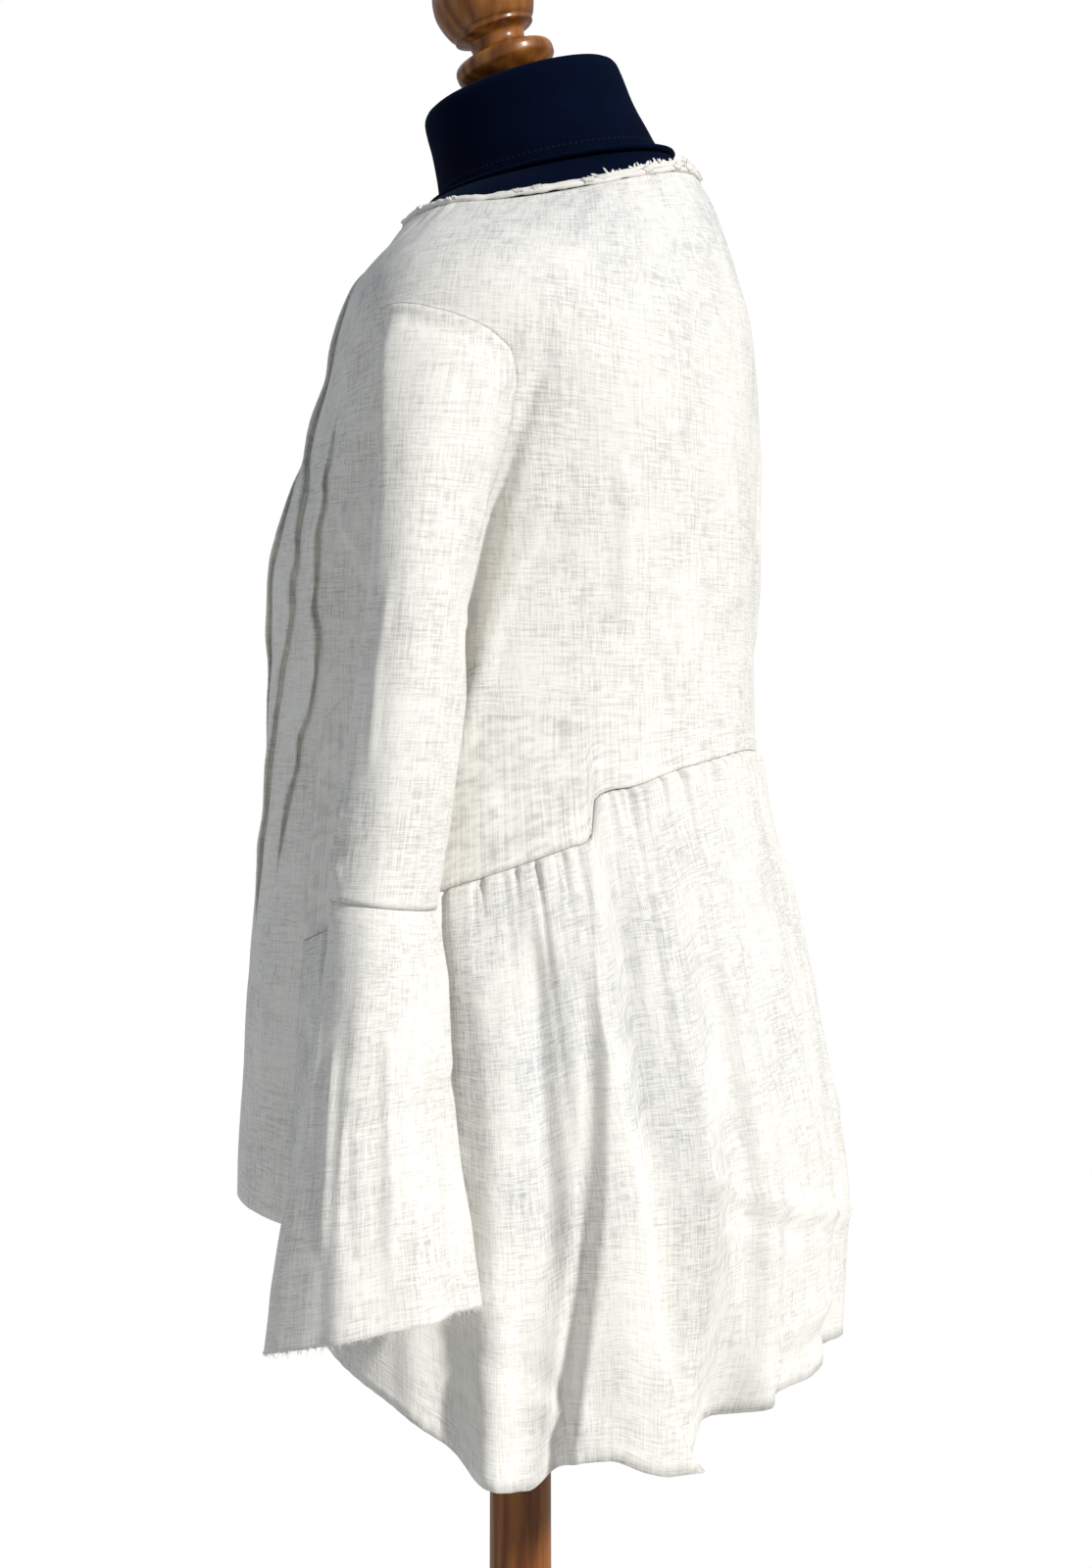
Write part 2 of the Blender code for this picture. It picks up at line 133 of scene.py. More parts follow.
def mixed(tree, share, a, b):
    """Mixes two numbers, or two colours where a is a colour."""
    colour = isinstance(a, bpy.types.NodeSocket) and a.type == "RGBA"
    inputs = {0: share, 6: a, 7: b} if colour else {0: share, 2: a, 3: b}
    return node(tree, "Mix", inputs, data_type="RGBA" if colour else "FLOAT").outputs[2 if colour else 0]


def add_mesh(bm, name, material):
    """Turns a finished bmesh into an object at the origin."""
    mesh = bpy.data.meshes.new(name)
    bm.to_mesh(mesh)
    bm.free()
    mesh.materials.append(material)
    o = bpy.data.objects.new(name, mesh)
    bpy.context.collection.objects.link(o)
    return o


paint, tree, shader = new_material("floor_paint", {"Roughness": 0.8})
grain = node(tree, "TexNoise", {
    "Vector": node(tree, "TexCoord").outputs["Object"], "Scale": 3.0, "Detail": 5.0,
})
tree.links.new(ramp(tree, grain.outputs["Fac"], (0.3, (0.8, 0.8, 0.79)), (0.7, (0.86, 0.86, 0.85))),
               shader.inputs["Base Color"])
FLOOR_RADIUS = 1.9
bm = bmesh.new()
bmesh.ops.create_circle(bm, cap_ends=True, segments=96, radius=FLOOR_RADIUS)
add_mesh(bm, "floor", paint)

# The stand: a foot and a post turned in mid-brown hardwood, stained and varnished.
# The post is tenoned into the foot, and its top goes up into the form.
# Each run is (radius, height) in mm, smooth along its length, with a crisp edge where runs meet.
BASE_RUNS = [
    [(176, 0), (179.5, 2), (180, 6), (179.5, 10), (178, 13)], [(178, 13), (170, 18.5), (130, 26), (96, 29.4)],
    [(96, 29.4), (95, 31.2), (92, 31.0)], [(92, 31.0), (60, 33.0), (38, 35.6)],
    [(38, 35.6), (35.5, 37), (31, 37)], [(31, 37), (30, 42.6), (24, 44)], [(24, 44), (0, 44)],
]
POST_RUNS = [
    [(0, 44.4), (23, 44.4)], [(23, 44.4), (22, 56), (23.6, 66), (24, 70), (23.4, 74.5)],
    [(23.4, 74.5), (21.6, 78), (22.5, 90), (21, 220), (19.8, 420), (19, 640), (19, 829.2)],
    [(19, 829.2), (0, 829.2)],
]
FINIAL_RUNS = [
    [(0, 1.8), (18, 1.8)], [(18, 1.8), (26, 7.4), (31.2, 12.5), (31.6, 17)],
    [(31.6, 17), (30.6, 19.6), (28, 21.2), (22, 22.6), (19.5, 23.5)],
    [(19.5, 23.5), (17.4, 26), (17.2, 28.5), (18.2, 32), (22, 34.5)],
    [(22, 34.5), (25.2, 36.2), (25.4, 38.6), (27.5, 41.5), (30.4, 49), (31.8, 58), (29.5, 70), (23, 79), (14, 84.4),
     (4, 86), (0, 86)],
]
FINIAL_FOOT, FINIAL_LEAN = Vector((0, -0.0045, 1.5012)), radians(20)


def smooth(table, key, column):
    """A smooth curve through one column of a table whose first column is the key."""
    rows = sorted(table)
    if key <= rows[0][0]:
        return rows[0][column]
    if key >= rows[-1][0]:
        return rows[-1][column]
    i = max(j for j in range(len(rows) - 1) if rows[j][0] <= key)
    (k0, v0), (k1, v1) = (rows[i][0], rows[i][column]), (rows[i + 1][0], rows[i + 1][column])
    before, after = rows[max(i - 1, 0)], rows[min(i + 2, len(rows) - 1)]
    slope = (v1 - v0) / (k1 - k0)
    in0 = (v1 - before[column]) / (k1 - before[0])
    in1 = (after[column] - v0) / (after[0] - k0)
    m0, m1 = [0 if m * slope <= 0 else copysign(min(abs(m), 3 * abs(slope)), m) for m in (in0, in1)]
    t = (key - k0) / (k1 - k0)
    h = k1 - k0
    return (
        (2 * t**3 - 3 * t**2 + 1) * v0 + (t**3 - 2 * t**2 + t) * h * m0
        + (3 * t**2 - 2 * t**3) * v1 + (t**3 - t**2) * h * m1
    )


def add_piece(bm, name, material):
    """Turns a finished bmesh into a piece of the object that rides on its one body."""
    piece = add_mesh(bm, name, material)
    piece.data.shade_smooth()
    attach(piece, "root")
    return piece


FINE = 5        # steps of a curved profile from one of its points to the next


def turned(name, runs, steps, move=None):
    """Lathe work: spins the profile of smooth runs about the upright axis."""
    bm = bmesh.new()
    line = []
    for run in runs:
        table = [(i, r, h) for i, (r, h) in enumerate(run)]
        last = len(run) - 1
        count = 1 if last == 1 else last * FINE
        for k in range(count + 1):
            key = last * k / count
            line.append((smooth(table, key, 1), smooth(table, key, 2)))
    verts = [bm.verts.new((r * MM, 0, h * MM)) for r, h in line]
    edges = [bm.edges.new(pair) for pair in zip(verts, verts[1:])]
    bmesh.ops.spin(bm, geom=verts + edges, cent=(0, 0, 0), axis=(0, 0, 1), angle=2 * pi, steps=steps,
                   use_merge=True)
    bmesh.ops.remove_doubles(bm, verts=bm.verts, dist=1e-6)
    bmesh.ops.recalc_face_normals(bm, faces=bm.faces)
    if move:
        bmesh.ops.transform(bm, matrix=move, verts=bm.verts)
    return add_piece(bm, name, varnish)


varnish, tree, shader = new_material("varnished_wood", {
    "Roughness": 0.38, "Coat Weight": 0.3, "Coat Roughness": 0.14, "Specular IOR Level": 0.3,
})
place = node(tree, "TexCoord").outputs["Object"]
streak = node(tree, "Mapping", {"Vector": place, "Scale": (95, 95, 5.5)})
fibre = node(tree, "TexNoise", {
    "Vector": streak.outputs[0], "Scale": 1.0, "Detail": 6.0, "Roughness": 0.62, "Distortion": 0.6,
}).outputs["Fac"]
long_way = node(tree, "Mapping", {"Vector": place, "Scale": (1, 1, 0.16), "Location": (0.02, 0.045, 0)})
rings = node(tree, "TexWave", {
    "Vector": long_way.outputs[0], "Scale": 34.0, "Distortion": 5.0, "Detail": 3.0, "Detail Scale": 1.6,
}, wave_type="RINGS", rings_direction="Z")
stain = ramp(tree, mixed(tree, 0.24, fibre, rings.outputs["Fac"]), (0.22, (0.085, 0.021, 0.003)),
             (0.42, (0.185, 0.056, 0.008)), (0.6, (0.29, 0.105, 0.018)), (0.82, (0.42, 0.185, 0.045)))
finish(tree, shader, stain, fibre, 0.12, 0.0005)

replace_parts(turned("turned_foot", BASE_RUNS, 128), "stand_base")
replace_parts(turned("turned_post", POST_RUNS, 72), "stand_post")
lean = Matrix.Translation(FINIAL_FOOT) @ Matrix.Rotation(FINIAL_LEAN, 4, "X")
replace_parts(turned("turned_finial", FINIAL_RUNS, 96, lean), "finial")

# The form: a hard body shell covered in dark navy knitted jersey, pulled smooth. Its neck cover is
# sewn on at a welt that stands out as a thin rim, with its upper edge turned up behind.
TORSO = [   # height in m, half width, front depth and back depth in mm
    (0.83, 150, 90, 112), (0.836, 164, 102, 125), (0.848, 169, 107, 130), (0.88, 172, 112, 138),
    (0.94, 166, 110, 132), (1.000, 148, 102, 115), (1.06, 128, 96, 100), (1.12, 136, 108, 104),
    (1.18, 150, 126, 114), (1.225, 157, 135, 121), (1.275, 162, 120, 127), (1.32, 167, 104, 129),
    (1.34, 169, 97, 129), (1.362, 164, 88, 126), (1.381, 150, 81, 122), (1.3973, 127, 74, 118),
    (1.4113, 103, 67, 112), (1.425, 82, 60, 104), (1.4375, 68, 58.5, 96),
]
NECK = [    # distance up from the neck's foot, forward shift, half width and half depth in mm, tilt in degrees
    (2.4, 0, 60, 71, 12), (8, 2.6, 58.6, 69.4, 12.3), (15, 5, 57.5, 68, 12.6), (32, 11.5, 55.5, 65, 13.8),
    (51, 18, 54.5, 63.5, 15.4), (57, 19.5, 52.5, 61.5, 16), (60.3, 20, 47.5, 56.5, 16), (61.5, 20.5, 38, 47, 16),
]
WELT = [    # the same columns
    (-1.9, 0, 62, 74.5, 12), (-1.5, 0, 65.6, 78.1, 12), (0, 0, 67.0, 79.5, 12), (1.3, 0, 66.3, 78.8, 12),
    (2.0, 0, 64.6, 77.1, 12), (2.2, 0, 60.8, 73.3, 12), (2.0, 0, 57.5, 70, 12),
]
NECK_Y, NECK_Z, NECK_TILT = 0.0195, 1.4405, radians(12.0)
NAVY = (0.0008, 0.003, 0.0135)


def clamp(*values):
    """The least of the values, kept between 0 and 1."""
    return max(0.0, min(1.0, *values))


def torso_point(z, turn):
    wide, front, back = [smooth(TORSO, z, column) for column in (1, 2, 3)]
    lean = clamp((z - 1.3) / (TORSO[-1][0] - 1.3)) * tan(NECK_TILT)
    y = -(front if cos(turn) > 0 else back) * cos(turn) * MM
    return Vector((wide * sin(turn) * MM, y, z + lean * (y - NECK_Y)))


def neck_point(row, turn):
    up, shift, wide, deep, tilt = row
    tilt, d = radians(tilt), -deep * cos(turn)
    return Vector((
        wide * sin(turn) * MM,
        NECK_Y + (d * cos(tilt) - shift) * MM,
        NECK_Z + (up + d * sin(tilt)) * MM,
    ))


def grid_mesh(columns, rows, place, cut=None, ring=False):
    """A bmesh on a grid: place(c, r) gives each vertex, cut(c, r) its place in m on the flat cloth."""
    bm = bmesh.new()
    bmesh.ops.create_grid(bm, x_segments=columns, y_segments=rows, size=1.0)
    spots = {v: (round((v.co.x + 1) / 2 * columns), round((1 - v.co.y) / 2 * rows)) for v in bm.verts}
    if cut:
        flat = bm.loops.layers.uv.new("Cut")
        for face in bm.faces:
            for corner in face.loops:
                corner[flat].uv = cut(*spots[corner.vert])
    for v, spot in spots.items():
        v.co = place(*spot)
    if ring:
        bmesh.ops.remove_doubles(bm, verts=bm.verts, dist=1e-6)
    bm.normal_update()
    out = sum((face.normal.dot(Vector((face.calc_center_median().x, face.calc_center_median().y, 0)))
               for face in bm.faces))
    if out < 0:
        bmesh.ops.reverse_faces(bm, faces=bm.faces)
    return bm


def closed_tube(name, sides, rows, point):
    """A tube of rows that run from the bottom up, with a flat lid at each end."""
    bm = grid_mesh(sides, len(rows) - 1, lambda c, r: point(rows[r], 2 * pi * (c % sides) / sides), ring=True)
    bmesh.ops.holes_fill(bm, edges=[e for e in bm.edges if e.is_boundary], sides=0)
    return add_piece(bm, name, jersey)


jersey, tree, shader = new_material("navy_jersey", {
    "Roughness": 0.9, "Sheen Weight": 0.02, "Sheen Roughness": 0.4, "Sheen Tint": (0.2, 0.45, 1.0, 1),
    "Specular IOR Level": 0.04,
})
place = node(tree, "TexCoord").outputs["Object"]
knit = node(tree, "TexVoronoi", {
    "Vector": node(tree, "Mapping", {"Vector": place, "Scale": (1, 1, 0.75)}).outputs[0], "Scale": 1100.0,
}).outputs["Distance"]
cloud = node(tree, "TexNoise", {"Vector": place, "Scale": 38.0, "Detail": 4.0}).outputs["Fac"]
dye = ramp(tree, mixed(tree, 0.6, knit, cloud), (0.25, [0.6 * c for c in NAVY]), (0.75, [1.5 * c for c in NAVY]))
finish(tree, shader, dye, knit, 0.25, 0.0004)


def between(table, steps):
    """Even steps from a table's first key to its last."""
    low, high = table[0][0], table[-1][0]
    return [low + (high - low) * i / steps for i in range(steps + 1)]


def neck_row(up):
    return [up] + [smooth(NECK, up, column) for column in range(1, 5)]


heights = sorted({row[0] for row in TORSO} | set(between(TORSO, 56)))
covers = [
    closed_tube("form_cover", 96, heights, torso_point),
    closed_tube("neck_cover", 96, [neck_row(up) for up in between(NECK, 36)], neck_point),
    closed_tube("neck_welt", 112, WELT, neck_point),
]
for cover, solid in zip(covers, ("form_torso", "form_neck", "form_neck_seam")):
    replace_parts(cover, solid)


def placed(spot, *axes):
    """The matrix of a small thing at a spot, with its three half lengths."""
    return Matrix.Translation(spot) @ Matrix(axes).transposed().to_4x4()


def stitch_row(name, points, outs, length, gap, thick, material):
    """A row of small flattened stitches along a line of points, lying on the cloth."""
    bm = bmesh.new()
    total, want = 0.0, gap
    for a, b, out in zip(points, points[1:], outs):
        step = (b - a).length
        while want < total + step:
            spot, along = a.lerp(b, (want - total) / step), (b - a).normalized()
            across = out.cross(along).normalized()
            bmesh.ops.create_icosphere(bm, subdivisions=1, radius=1.0, matrix=placed(
                spot, along * length / 2, across * thick * 0.8, out * thick * 0.6))
            want += length + gap
        total += step
    return add_piece(bm, name, material)


STITCH_UP = 7.6     # mm from the neck's foot to the stitched line above the welt
thread, _, shader = new_material("navy_thread", {
    "Base Color": (0.012, 0.022, 0.045, 1), "Roughness": 0.7, "Specular IOR Level": 0.2,
})
line = [neck_point(neck_row(STITCH_UP), 2 * pi * i / 160) for i in range(161)]
outs = [Vector((p.x, (p.y - NECK_Y) * 0.8, 0)).normalized() for p in line[:-1]]
stitch_row("neck_stitches", line, outs, 2.3 * MM, 1.3 * MM, 0.28 * MM, thread)

bm = bmesh.new()
for cover in covers:
    bm.from_mesh(cover.data)
body = BVHTree.FromBMesh(bm)
bm.free()

# The blouse's cloth hangs as one surface, from which the front, the back and the skirt are cut.
# Levels run down it: level, height at the front, side and back in m, reach to the front, side and back in mm.
LEVELS = [
    (0, 1.408, 1.413, 1.4405, 68, 106, 111), (1, 1.388, 1.401, 1.418, 80, 128, 122),
    (2, 1.365, 1.386, 1.387, 97, 152, 132), (3, 1.335, 1.366, 1.35, 104, 177, 141),
    (4, 1.3, 1.322, 1.305, 110, 190, 145), (5, 1.24, 1.24, 1.24, 138, 179, 146),
    (6, 1.19, 1.19, 1.19, 152, 171, 145), (7, 1.14, 1.14, 1.14, 153, 167, 144),
    (8, 1.06, 1.06, 1.06, 158, 167, 147), (9, 0.98, 0.98, 0.98, 165, 174, 168), (10, 0.9, 0.9, 0.9, 170, 183, 187),
    (11, 0.82, 0.82, 0.82, 173, 193, 200), (12, 0.74, 0.74, 0.74, 173, 198, 195),
    (13, 0.65, 0.65, 0.65, 173, 199, 183),
]
LEVEL_STEP = 0.02
DENSE = [[smooth(LEVELS, i * LEVEL_STEP, column) for column in range(7)] for i in range(round(13 / LEVEL_STEP) + 1)]
WALL, CLEAR = 0.9 * MM, 1.8 * MM


def row_height(row, phi):
    c = cos(radians(phi))
    s = abs(sin(radians(phi))) ** (4 if c > 0 else 2)
    return row[2] * s + row[1 if c > 0 else 3] * (1 - s)


def at_level(phi, level):
    """A point of the cloth's surface: phi is the angle from the wearer's front in degrees."""
    i = min(max(level, 0) / LEVEL_STEP, len(DENSE) - 1.001)
    row = [p + (q - p) * (i % 1) for p, q in zip(DENSE[int(i)], DENSE[int(i) + 1])]
    a = radians(phi)
    reach = row[4] if cos(a) > 0 else row[6]
    return Vector((row[5] * sin(a) * MM, -reach * cos(a) * MM, row_height(row, phi)))


def level_at(phi, z):
    low, high = 0, len(DENSE) - 1
    while high - low > 1:
        mid = (low + high) // 2
        low, high = (mid, high) if row_height(DENSE[mid], phi) > z else (low, mid)
    top, bottom = row_height(DENSE[low], phi), row_height(DENSE[high], phi)
    return (low + (top - z) / (top - bottom)) * LEVEL_STEP


def facing(phi, level):
    """The outward direction of the surface, which two pieces share along a seam."""
    down = at_level(phi, min(level + 0.08, 13)) - at_level(phi, max(level - 0.08, 0))
    return down.cross(at_level(phi + 1.5, level) - at_level(phi - 1.5, level)).normalized()


def off_form(p, least=WALL + CLEAR):
    """Lifts a point of the cloth's face that would lie too near the form."""
    near, normal, _, gap = body.find_nearest(p)
    if (p - near).dot(normal) < 0:
        return near + normal * least
    if gap < least:
        return near + (p - near).normalized() * least
    return p


MM_PER_DEGREE = 2.75


def crease_lift(angle, z, creases, mm_per_degree=MM_PER_DEGREE):
    """Lift in m, at an angle in degrees and a height in m, from soft troughs and ridges.
    A crease is (width on its left, width on its right, depth, all in mm, and its line of (angle, height))."""
    total = 0.0
    for left, right, depth, line in creases:
        best, share, side = 1e9, 0.0, 1.0
        for k, ((x0, z0), (x1, z1)) in enumerate(zip(line, line[1:])):
            dx, dz = (x1 - x0) * mm_per_degree, (z1 - z0) / MM
            px, pz = (angle - x0) * mm_per_degree, (z - z0) / MM
            t = clamp((px * dx + pz * dz) / (dx * dx + dz * dz))
            away = hypot(px - t * dx, pz - t * dz)
            if away < best:
                best, share, side = away, (k + t) / (len(line) - 1), dx * pz - dz * px
        wide = left if side > 0 else right
        if best < 2.6 * wide:
            ends = min(1.0, share / 0.22, (1 - share) / 0.22)
            total += depth * exp(-(best / wide) ** 2 * 1.6) * ends * ends * (3 - 2 * ends)
    return total * MM


def rough(x, y, z):
    """Smooth unevenness from about -1 to 1."""
    return noise.noise(Vector((x, y, z)))


def puckers(p, amount=1.0):
    """The small unevenness of washed linen, in m."""
    coarse = rough(p.x * 26, p.y * 26, p.z * 17)
    fine = rough(p.x * 85 + 7, p.y * 85, p.z * 60)
    return (0.9 * coarse + 0.32 * fine) * amount * MM


def linen_piece(name, bm, reach=14 * MM):
    """A cloth piece with its wall, and an attribute that says how near the dark form lies behind it."""
    piece = add_piece(bm, name, linen)
    near = piece.data.attributes.new("near_form", "FLOAT", "POINT")
    for i, v in enumerate(piece.data.vertices):
        gap = body.find_nearest(v.co)[3]
        near.data[i].value = clamp(1 - (gap - 5 * MM) / reach)
    m = piece.modifiers.new("Wall", "SOLIDIFY")
    m.thickness = WALL
    m.offset = -1
    return piece


def lengths(points):
    """Length along a list of points, from its start to each one."""
    total = [0.0]
    for a, b in zip(points, points[1:]):
        total.append(total[-1] + (b - a).length)
    return total


def panel(name, grid, spread, reach=14 * MM):
    """A panel of linen from rows of points and how far across the flat cloth each lies in m."""
    down = lengths([row[len(row) // 2] for row in grid])
    bm = grid_mesh(len(grid[0]) - 1, len(grid) - 1, lambda c, r: grid[r][c], lambda c, r: (spread[r][c], -down[r]))
    return linen_piece(name, bm, reach)


def linen_material(name, pale, gap, through):
    """Loose, slubby plain weave, with thick and thin threads both ways, drawn on the flat cut in m."""
    m, tree, shader = new_material(name, {
        "Roughness": 0.92, "Sheen Weight": 0.06, "Sheen Roughness": 0.5, "Specular IOR Level": 0.18,
    })
    cut = node(tree, "UVMap", uv_map="Cut").outputs[0]

    def threads(across, along, detail, seed):
        at = node(tree, "Mapping", {"Vector": cut, "Scale": (across, along, 1), "Location": (seed, seed * 1.7, 0)})
        return node(tree, "TexNoise", {
            "Vector": at.outputs[0], "Scale": 1.0, "Detail": detail, "Roughness": 0.55,
        }, noise_dimensions="2D").outputs["Fac"]

    fine = mixed(tree, 0.5, threads(1250, 95, 2, 0.0), threads(95, 1250, 2, 31.0))
    slubs = mixed(tree, 0.5, threads(560, 26, 1, 57.0), threads(26, 560, 1, 83.0))
    weave = mixed(tree, 0.36, fine, slubs)
    cloud = node(tree, "TexNoise", {"Vector": cut, "Scale": 15.0, "Detail": 4.0, "Roughness": 0.6}).outputs["Fac"]
    thin = ramp(tree, cloud, (0.4, (0.28, 0.28, 0.28)), (0.62, (1, 1, 1)))
    half_tone = tuple((p + g) / 2 + 0.03 for p, g in zip(pale, gap))
    woven = ramp(tree, weave, (0.38, gap), (0.49, half_tone), (0.57, pale))
    plain = ramp(tree, weave, (0.36, half_tone), (0.5, pale))
    body_colour = mixed(tree, thin, plain, woven)
    # Near the form the colour turns bluish grey where the navy form shows through the thin cloth; on the skirt,
    # where this reaches far off the form, the tint is painted shade, deepest in its valleys.
    dark = ramp(tree, weave, (0.41, through), (0.56, tuple(0.42 * t + 0.58 * p for t, p in zip(through, pale))))
    near = node(tree, "Attribute", attribute_name="near_form").outputs["Fac"]
    share = node(tree, "Math", {0: thin, 1: 0.42}, operation="MULTIPLY").outputs[0]
    share = node(tree, "Math", {0: near, 1: share}, operation="MULTIPLY").outputs[0]
    finish(tree, shader, mixed(tree, share, body_colour, dark), weave, 0.42, 0.0008)
    return m


linen = linen_material("washed_linen", (0.87, 0.85, 0.8), (0.55, 0.535, 0.5), (0.3, 0.35, 0.43))


# The front: one panel of linen from the neckline to a plain hem, joined to the back at forward
# shoulder seams, the armholes and the side seams. Each side has three tucks, stitched down in part
# and pressed toward the side, whose free edges ripple and stand off the panel.
LAP, TUCKED = 1.4, 1.3      # mm that one edge goes under the next at a seam, and how deep it lies
EDGES = [   # level, edge of the front and edge of the back as an angle from the front in degrees
    (0, 31, 31), (1, 45, 45), (2, 56, 56), (3, 65, 65), (3.5, 70, 70), (3.58, 71, 79), (3.66, 72, 86.5),
    (3.76, 73, 94.5), (3.9, 74, 102.5), (4.08, 75.3, 107.8), (4.3, 76.5, 109), (4.6, 78, 107), (5.2, 79.5, 101),
    (6.0, 80, 96), (6.5, 80.5, 93.5), (6.85, 81.5, 90), (7.06, 84.5, 84.5), (7.14, 79, 79), (7.22, 72, 72),
    (7.32, 64, 64), (7.45, 59, 59), (7.9, 56, 56), (13, 56, 56),
]
KEYS = [0] + [row[0] for row in EDGES[3:-1]]     # levels that a row of each panel lies on
FRONT_HEM = [(0, 0.817), (30, 0.8145), (56, 0.808)]     # angle, height in m
TUCKS = [   # height, then the angles of the three tucks, and how far each stands proud in mm
    (1.418, 10, 17, 24, 0, 0, 0), (1.39, 14, 24, 38, 0, 1.5, 0), (1.372, 16, 26, 46, 0, 3.2, 0),
    (1.33, 17, 28, 50, 0, 3.4, 0), (1.29, 20, 34, 54, 0, 3.4, 0), (1.262, 27, 40, 55, 0, 3.4, 1.5),
    (1.238, 29, 45, 56, 2.4, 3.4, 3.0), (1.205, 27, 46, 55.5, 3.0, 3.4, 3.2), (1.157, 24, 44, 56, 3.0, 3.4, 3.2),
    (1.128, 22, 38, 55, 1.5, 3.2, 2.6), (1.085, 21, 33, 50, 0, 3.2, 3.0), (1.04, 20, 30, 44, 0, 3.0, 2.4),
    (1.005, 20, 29, 42, 0, 2.0, 0), (0.97, 20, 29, 42, 0, 0, 0), (0.8, 20, 29, 42, 0, 0, 0),
]
TUCK_SECTION = [    # mm across from the fold where it is open, the same where it is flat, share of its height
    (-12, -12, 0.1), (-9, -9, 0.3), (-6.5, -6.5, 0.54), (-4.2, -4.2, 0.76), (-2.4, -2.4, 0.9), (-1, -1.1, 0.98),
    (0, 0, 1.0), (0.45, 0.5, 0.88), (0.2, 1.0, 0.66), (-1.0, 1.5, 0.44), (-2.6, 2.0, 0.26), (-3.8, 2.4, 0.06),
    (-3.9, 2.8, -0.16), (-2.6, 3.2, -0.34), (-0.4, 3.6, -0.26), (2.0, 4.0, -0.1), (4.2, 4.4, 0.0),
]
FRONT_GAPS = (10, 6, 6, 20)      # columns before, between and beyond the tucks
LEVEL_REACH = 0.058     # most levels from one row to the next
FRONT_CREASES = [   # width left and right in mm, depth in mm, line of (angle, height in m)
    (4, 7, 2.6, [(75.6, 1.291), (67.6, 1.272), (59.6, 1.246)]),
    (7, 5, -2.2, [(77.1, 1.268), (69.1, 1.252), (61.1, 1.222), (57.5, 1.2)]),
    (5, 6, 1.8, [(58.2, 1.24), (65.5, 1.214), (71.6, 1.196)]),
    (6, 6, -1.6, [(60.4, 1.221), (67.6, 1.19), (74.9, 1.172)]),
    (6, 9, 1.7, [(71.3, 1.34), (61.8, 1.322), (53.1, 1.3)]),
    (8, 6, -1.5, [(72, 1.322), (64, 1.305), (54.5, 1.287), (47.3, 1.28)]),
    (7, 8, 1.4, [(64, 1.15), (58.2, 1.1), (54.5, 1.04)]), (9, 6, -1.3, [(61.1, 1.09), (57.5, 1.03), (53.8, 0.96)]),
    (8, 8, 1.5, [(43.6, 1.01), (40.7, 0.95), (42.9, 0.88)]),
    (10, 8, -1.6, [(30.5, 0.985), (32, 0.91), (29.1, 0.84)]),
    (7, 9, 1.3, [(10.9, 1.06), (9.5, 0.96), (12.4, 0.85)]),
    (5, 8, 1.2, [(55.3, 0.962), (46.5, 0.946), (37.8, 0.95)]), (8, 8, -1.2, [(3.6, 1.33), (5.8, 1.27), (2.9, 1.2)]),
]


def edge(level, side):
    for a, b in zip(EDGES, EDGES[1:]):
        if a[0] <= level <= b[0]:
            return a[side] + (b[side] - a[side]) * (level - a[0]) / (b[0] - a[0])
    return EDGES[-1][side]


def lap(level):
    return degrees(LAP * MM / (0.09 + 0.012 * min(level, 7)))


def front_half(level, side):
    """Angles and lifts in mm of one row, from the centre of the front to its edge on one side."""
    z = row_height(DENSE[min(len(DENSE) - 1, round(level / LEVEL_STEP))], 45)
    last = edge(level, 1) - 0.1
    row, start = [(0.0, 0.0)], 0.0
    for k in range(3):
        angle, proud = smooth(TUCKS, z, 1 + k), smooth(TUCKS, z, 4 + k)
        beyond = smooth(TUCKS, z, 2 + k) if k < 2 else last
        open_share = min(1.0, proud / 2.6)
        beat = k * 2.1 + side * 0.9
        ripple = sin(z / 0.0062 + beat) + 0.8 * sin(z / 0.0108 + 2.3 * beat) + 0.5 * sin(z / 0.0041 - beat)
        ripple += 1.1 * rough(z * 46, beat, 0.5)
        angle += 1.15 * ripple * open_share / MM_PER_DEGREE
        proud *= 1.16 + 0.16 * sin(z / 0.0083 + 1.7 * beat)
        before = min(1.0, 0.62 * (angle - start) * MM_PER_DEGREE / 12)
        after = min(1.0, 0.3 * (beyond - angle) * MM_PER_DEGREE / 4.4)
        section = []
        for wide, flat, share in TUCK_SECTION:
            mm = flat + (wide - flat) * open_share
            section.append((angle + mm * (before if mm < 0 else after) / MM_PER_DEGREE, share * proud))
        first = section[0]
        row += [(start + (first[0] - start) * i / FRONT_GAPS[k], first[1] * i / FRONT_GAPS[k])
                for i in range(1, FRONT_GAPS[k])]
        row += section
        start = section[-1][0]
    row += [(start + (last - start) * i / FRONT_GAPS[3], 0.0) for i in range(1, FRONT_GAPS[3] + 1)]
    return row + [(last + 0.1 + lap(level), -TUCKED)]


def subdivided(levels, step):
    fine = [levels[0]]
    for a, b in zip(levels, levels[1:]):
        count = max(1, ceil((b - a) / step))
        fine += [a + (b - a) * i / count for i in range(1, count + 1)]
    return fine


def front_points():
    grid, spread = [], []
    for level in subdivided(KEYS + [11.0], LEVEL_REACH):
        left, right = front_half(level, 0), front_half(level, 1)
        row = [(-a, p) for a, p in reversed(right[1:])] + left
        line, turns = [], []
        for angle, proud in row:
            goal = level_at(abs(angle), smooth(FRONT_HEM, abs(angle), 1))
            here = level if level < 9 else 9 + (goal - 9) * (level - 9) / 2
            p = off_form(at_level(angle, here))
            skew = 1.0 if angle > 0 else 0.8
            height = p.z + (0 if angle > 0 else 0.012)
            calm = clamp((9.6 - abs(9.6 - here)) / 0.4, (edge(here, 1) - abs(angle)) / 4)
            folds = crease_lift(abs(angle), height, FRONT_CREASES) * skew + puckers(p)
            line.append(p + facing(angle, here) * (proud * MM + folds * calm))
            turns.append(angle * MM_PER_DEGREE * MM)
        grid.append(line)
        spread.append(turns)
    return grid, spread


front = panel("linen_front", *front_points())
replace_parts(front, "blouse_front")


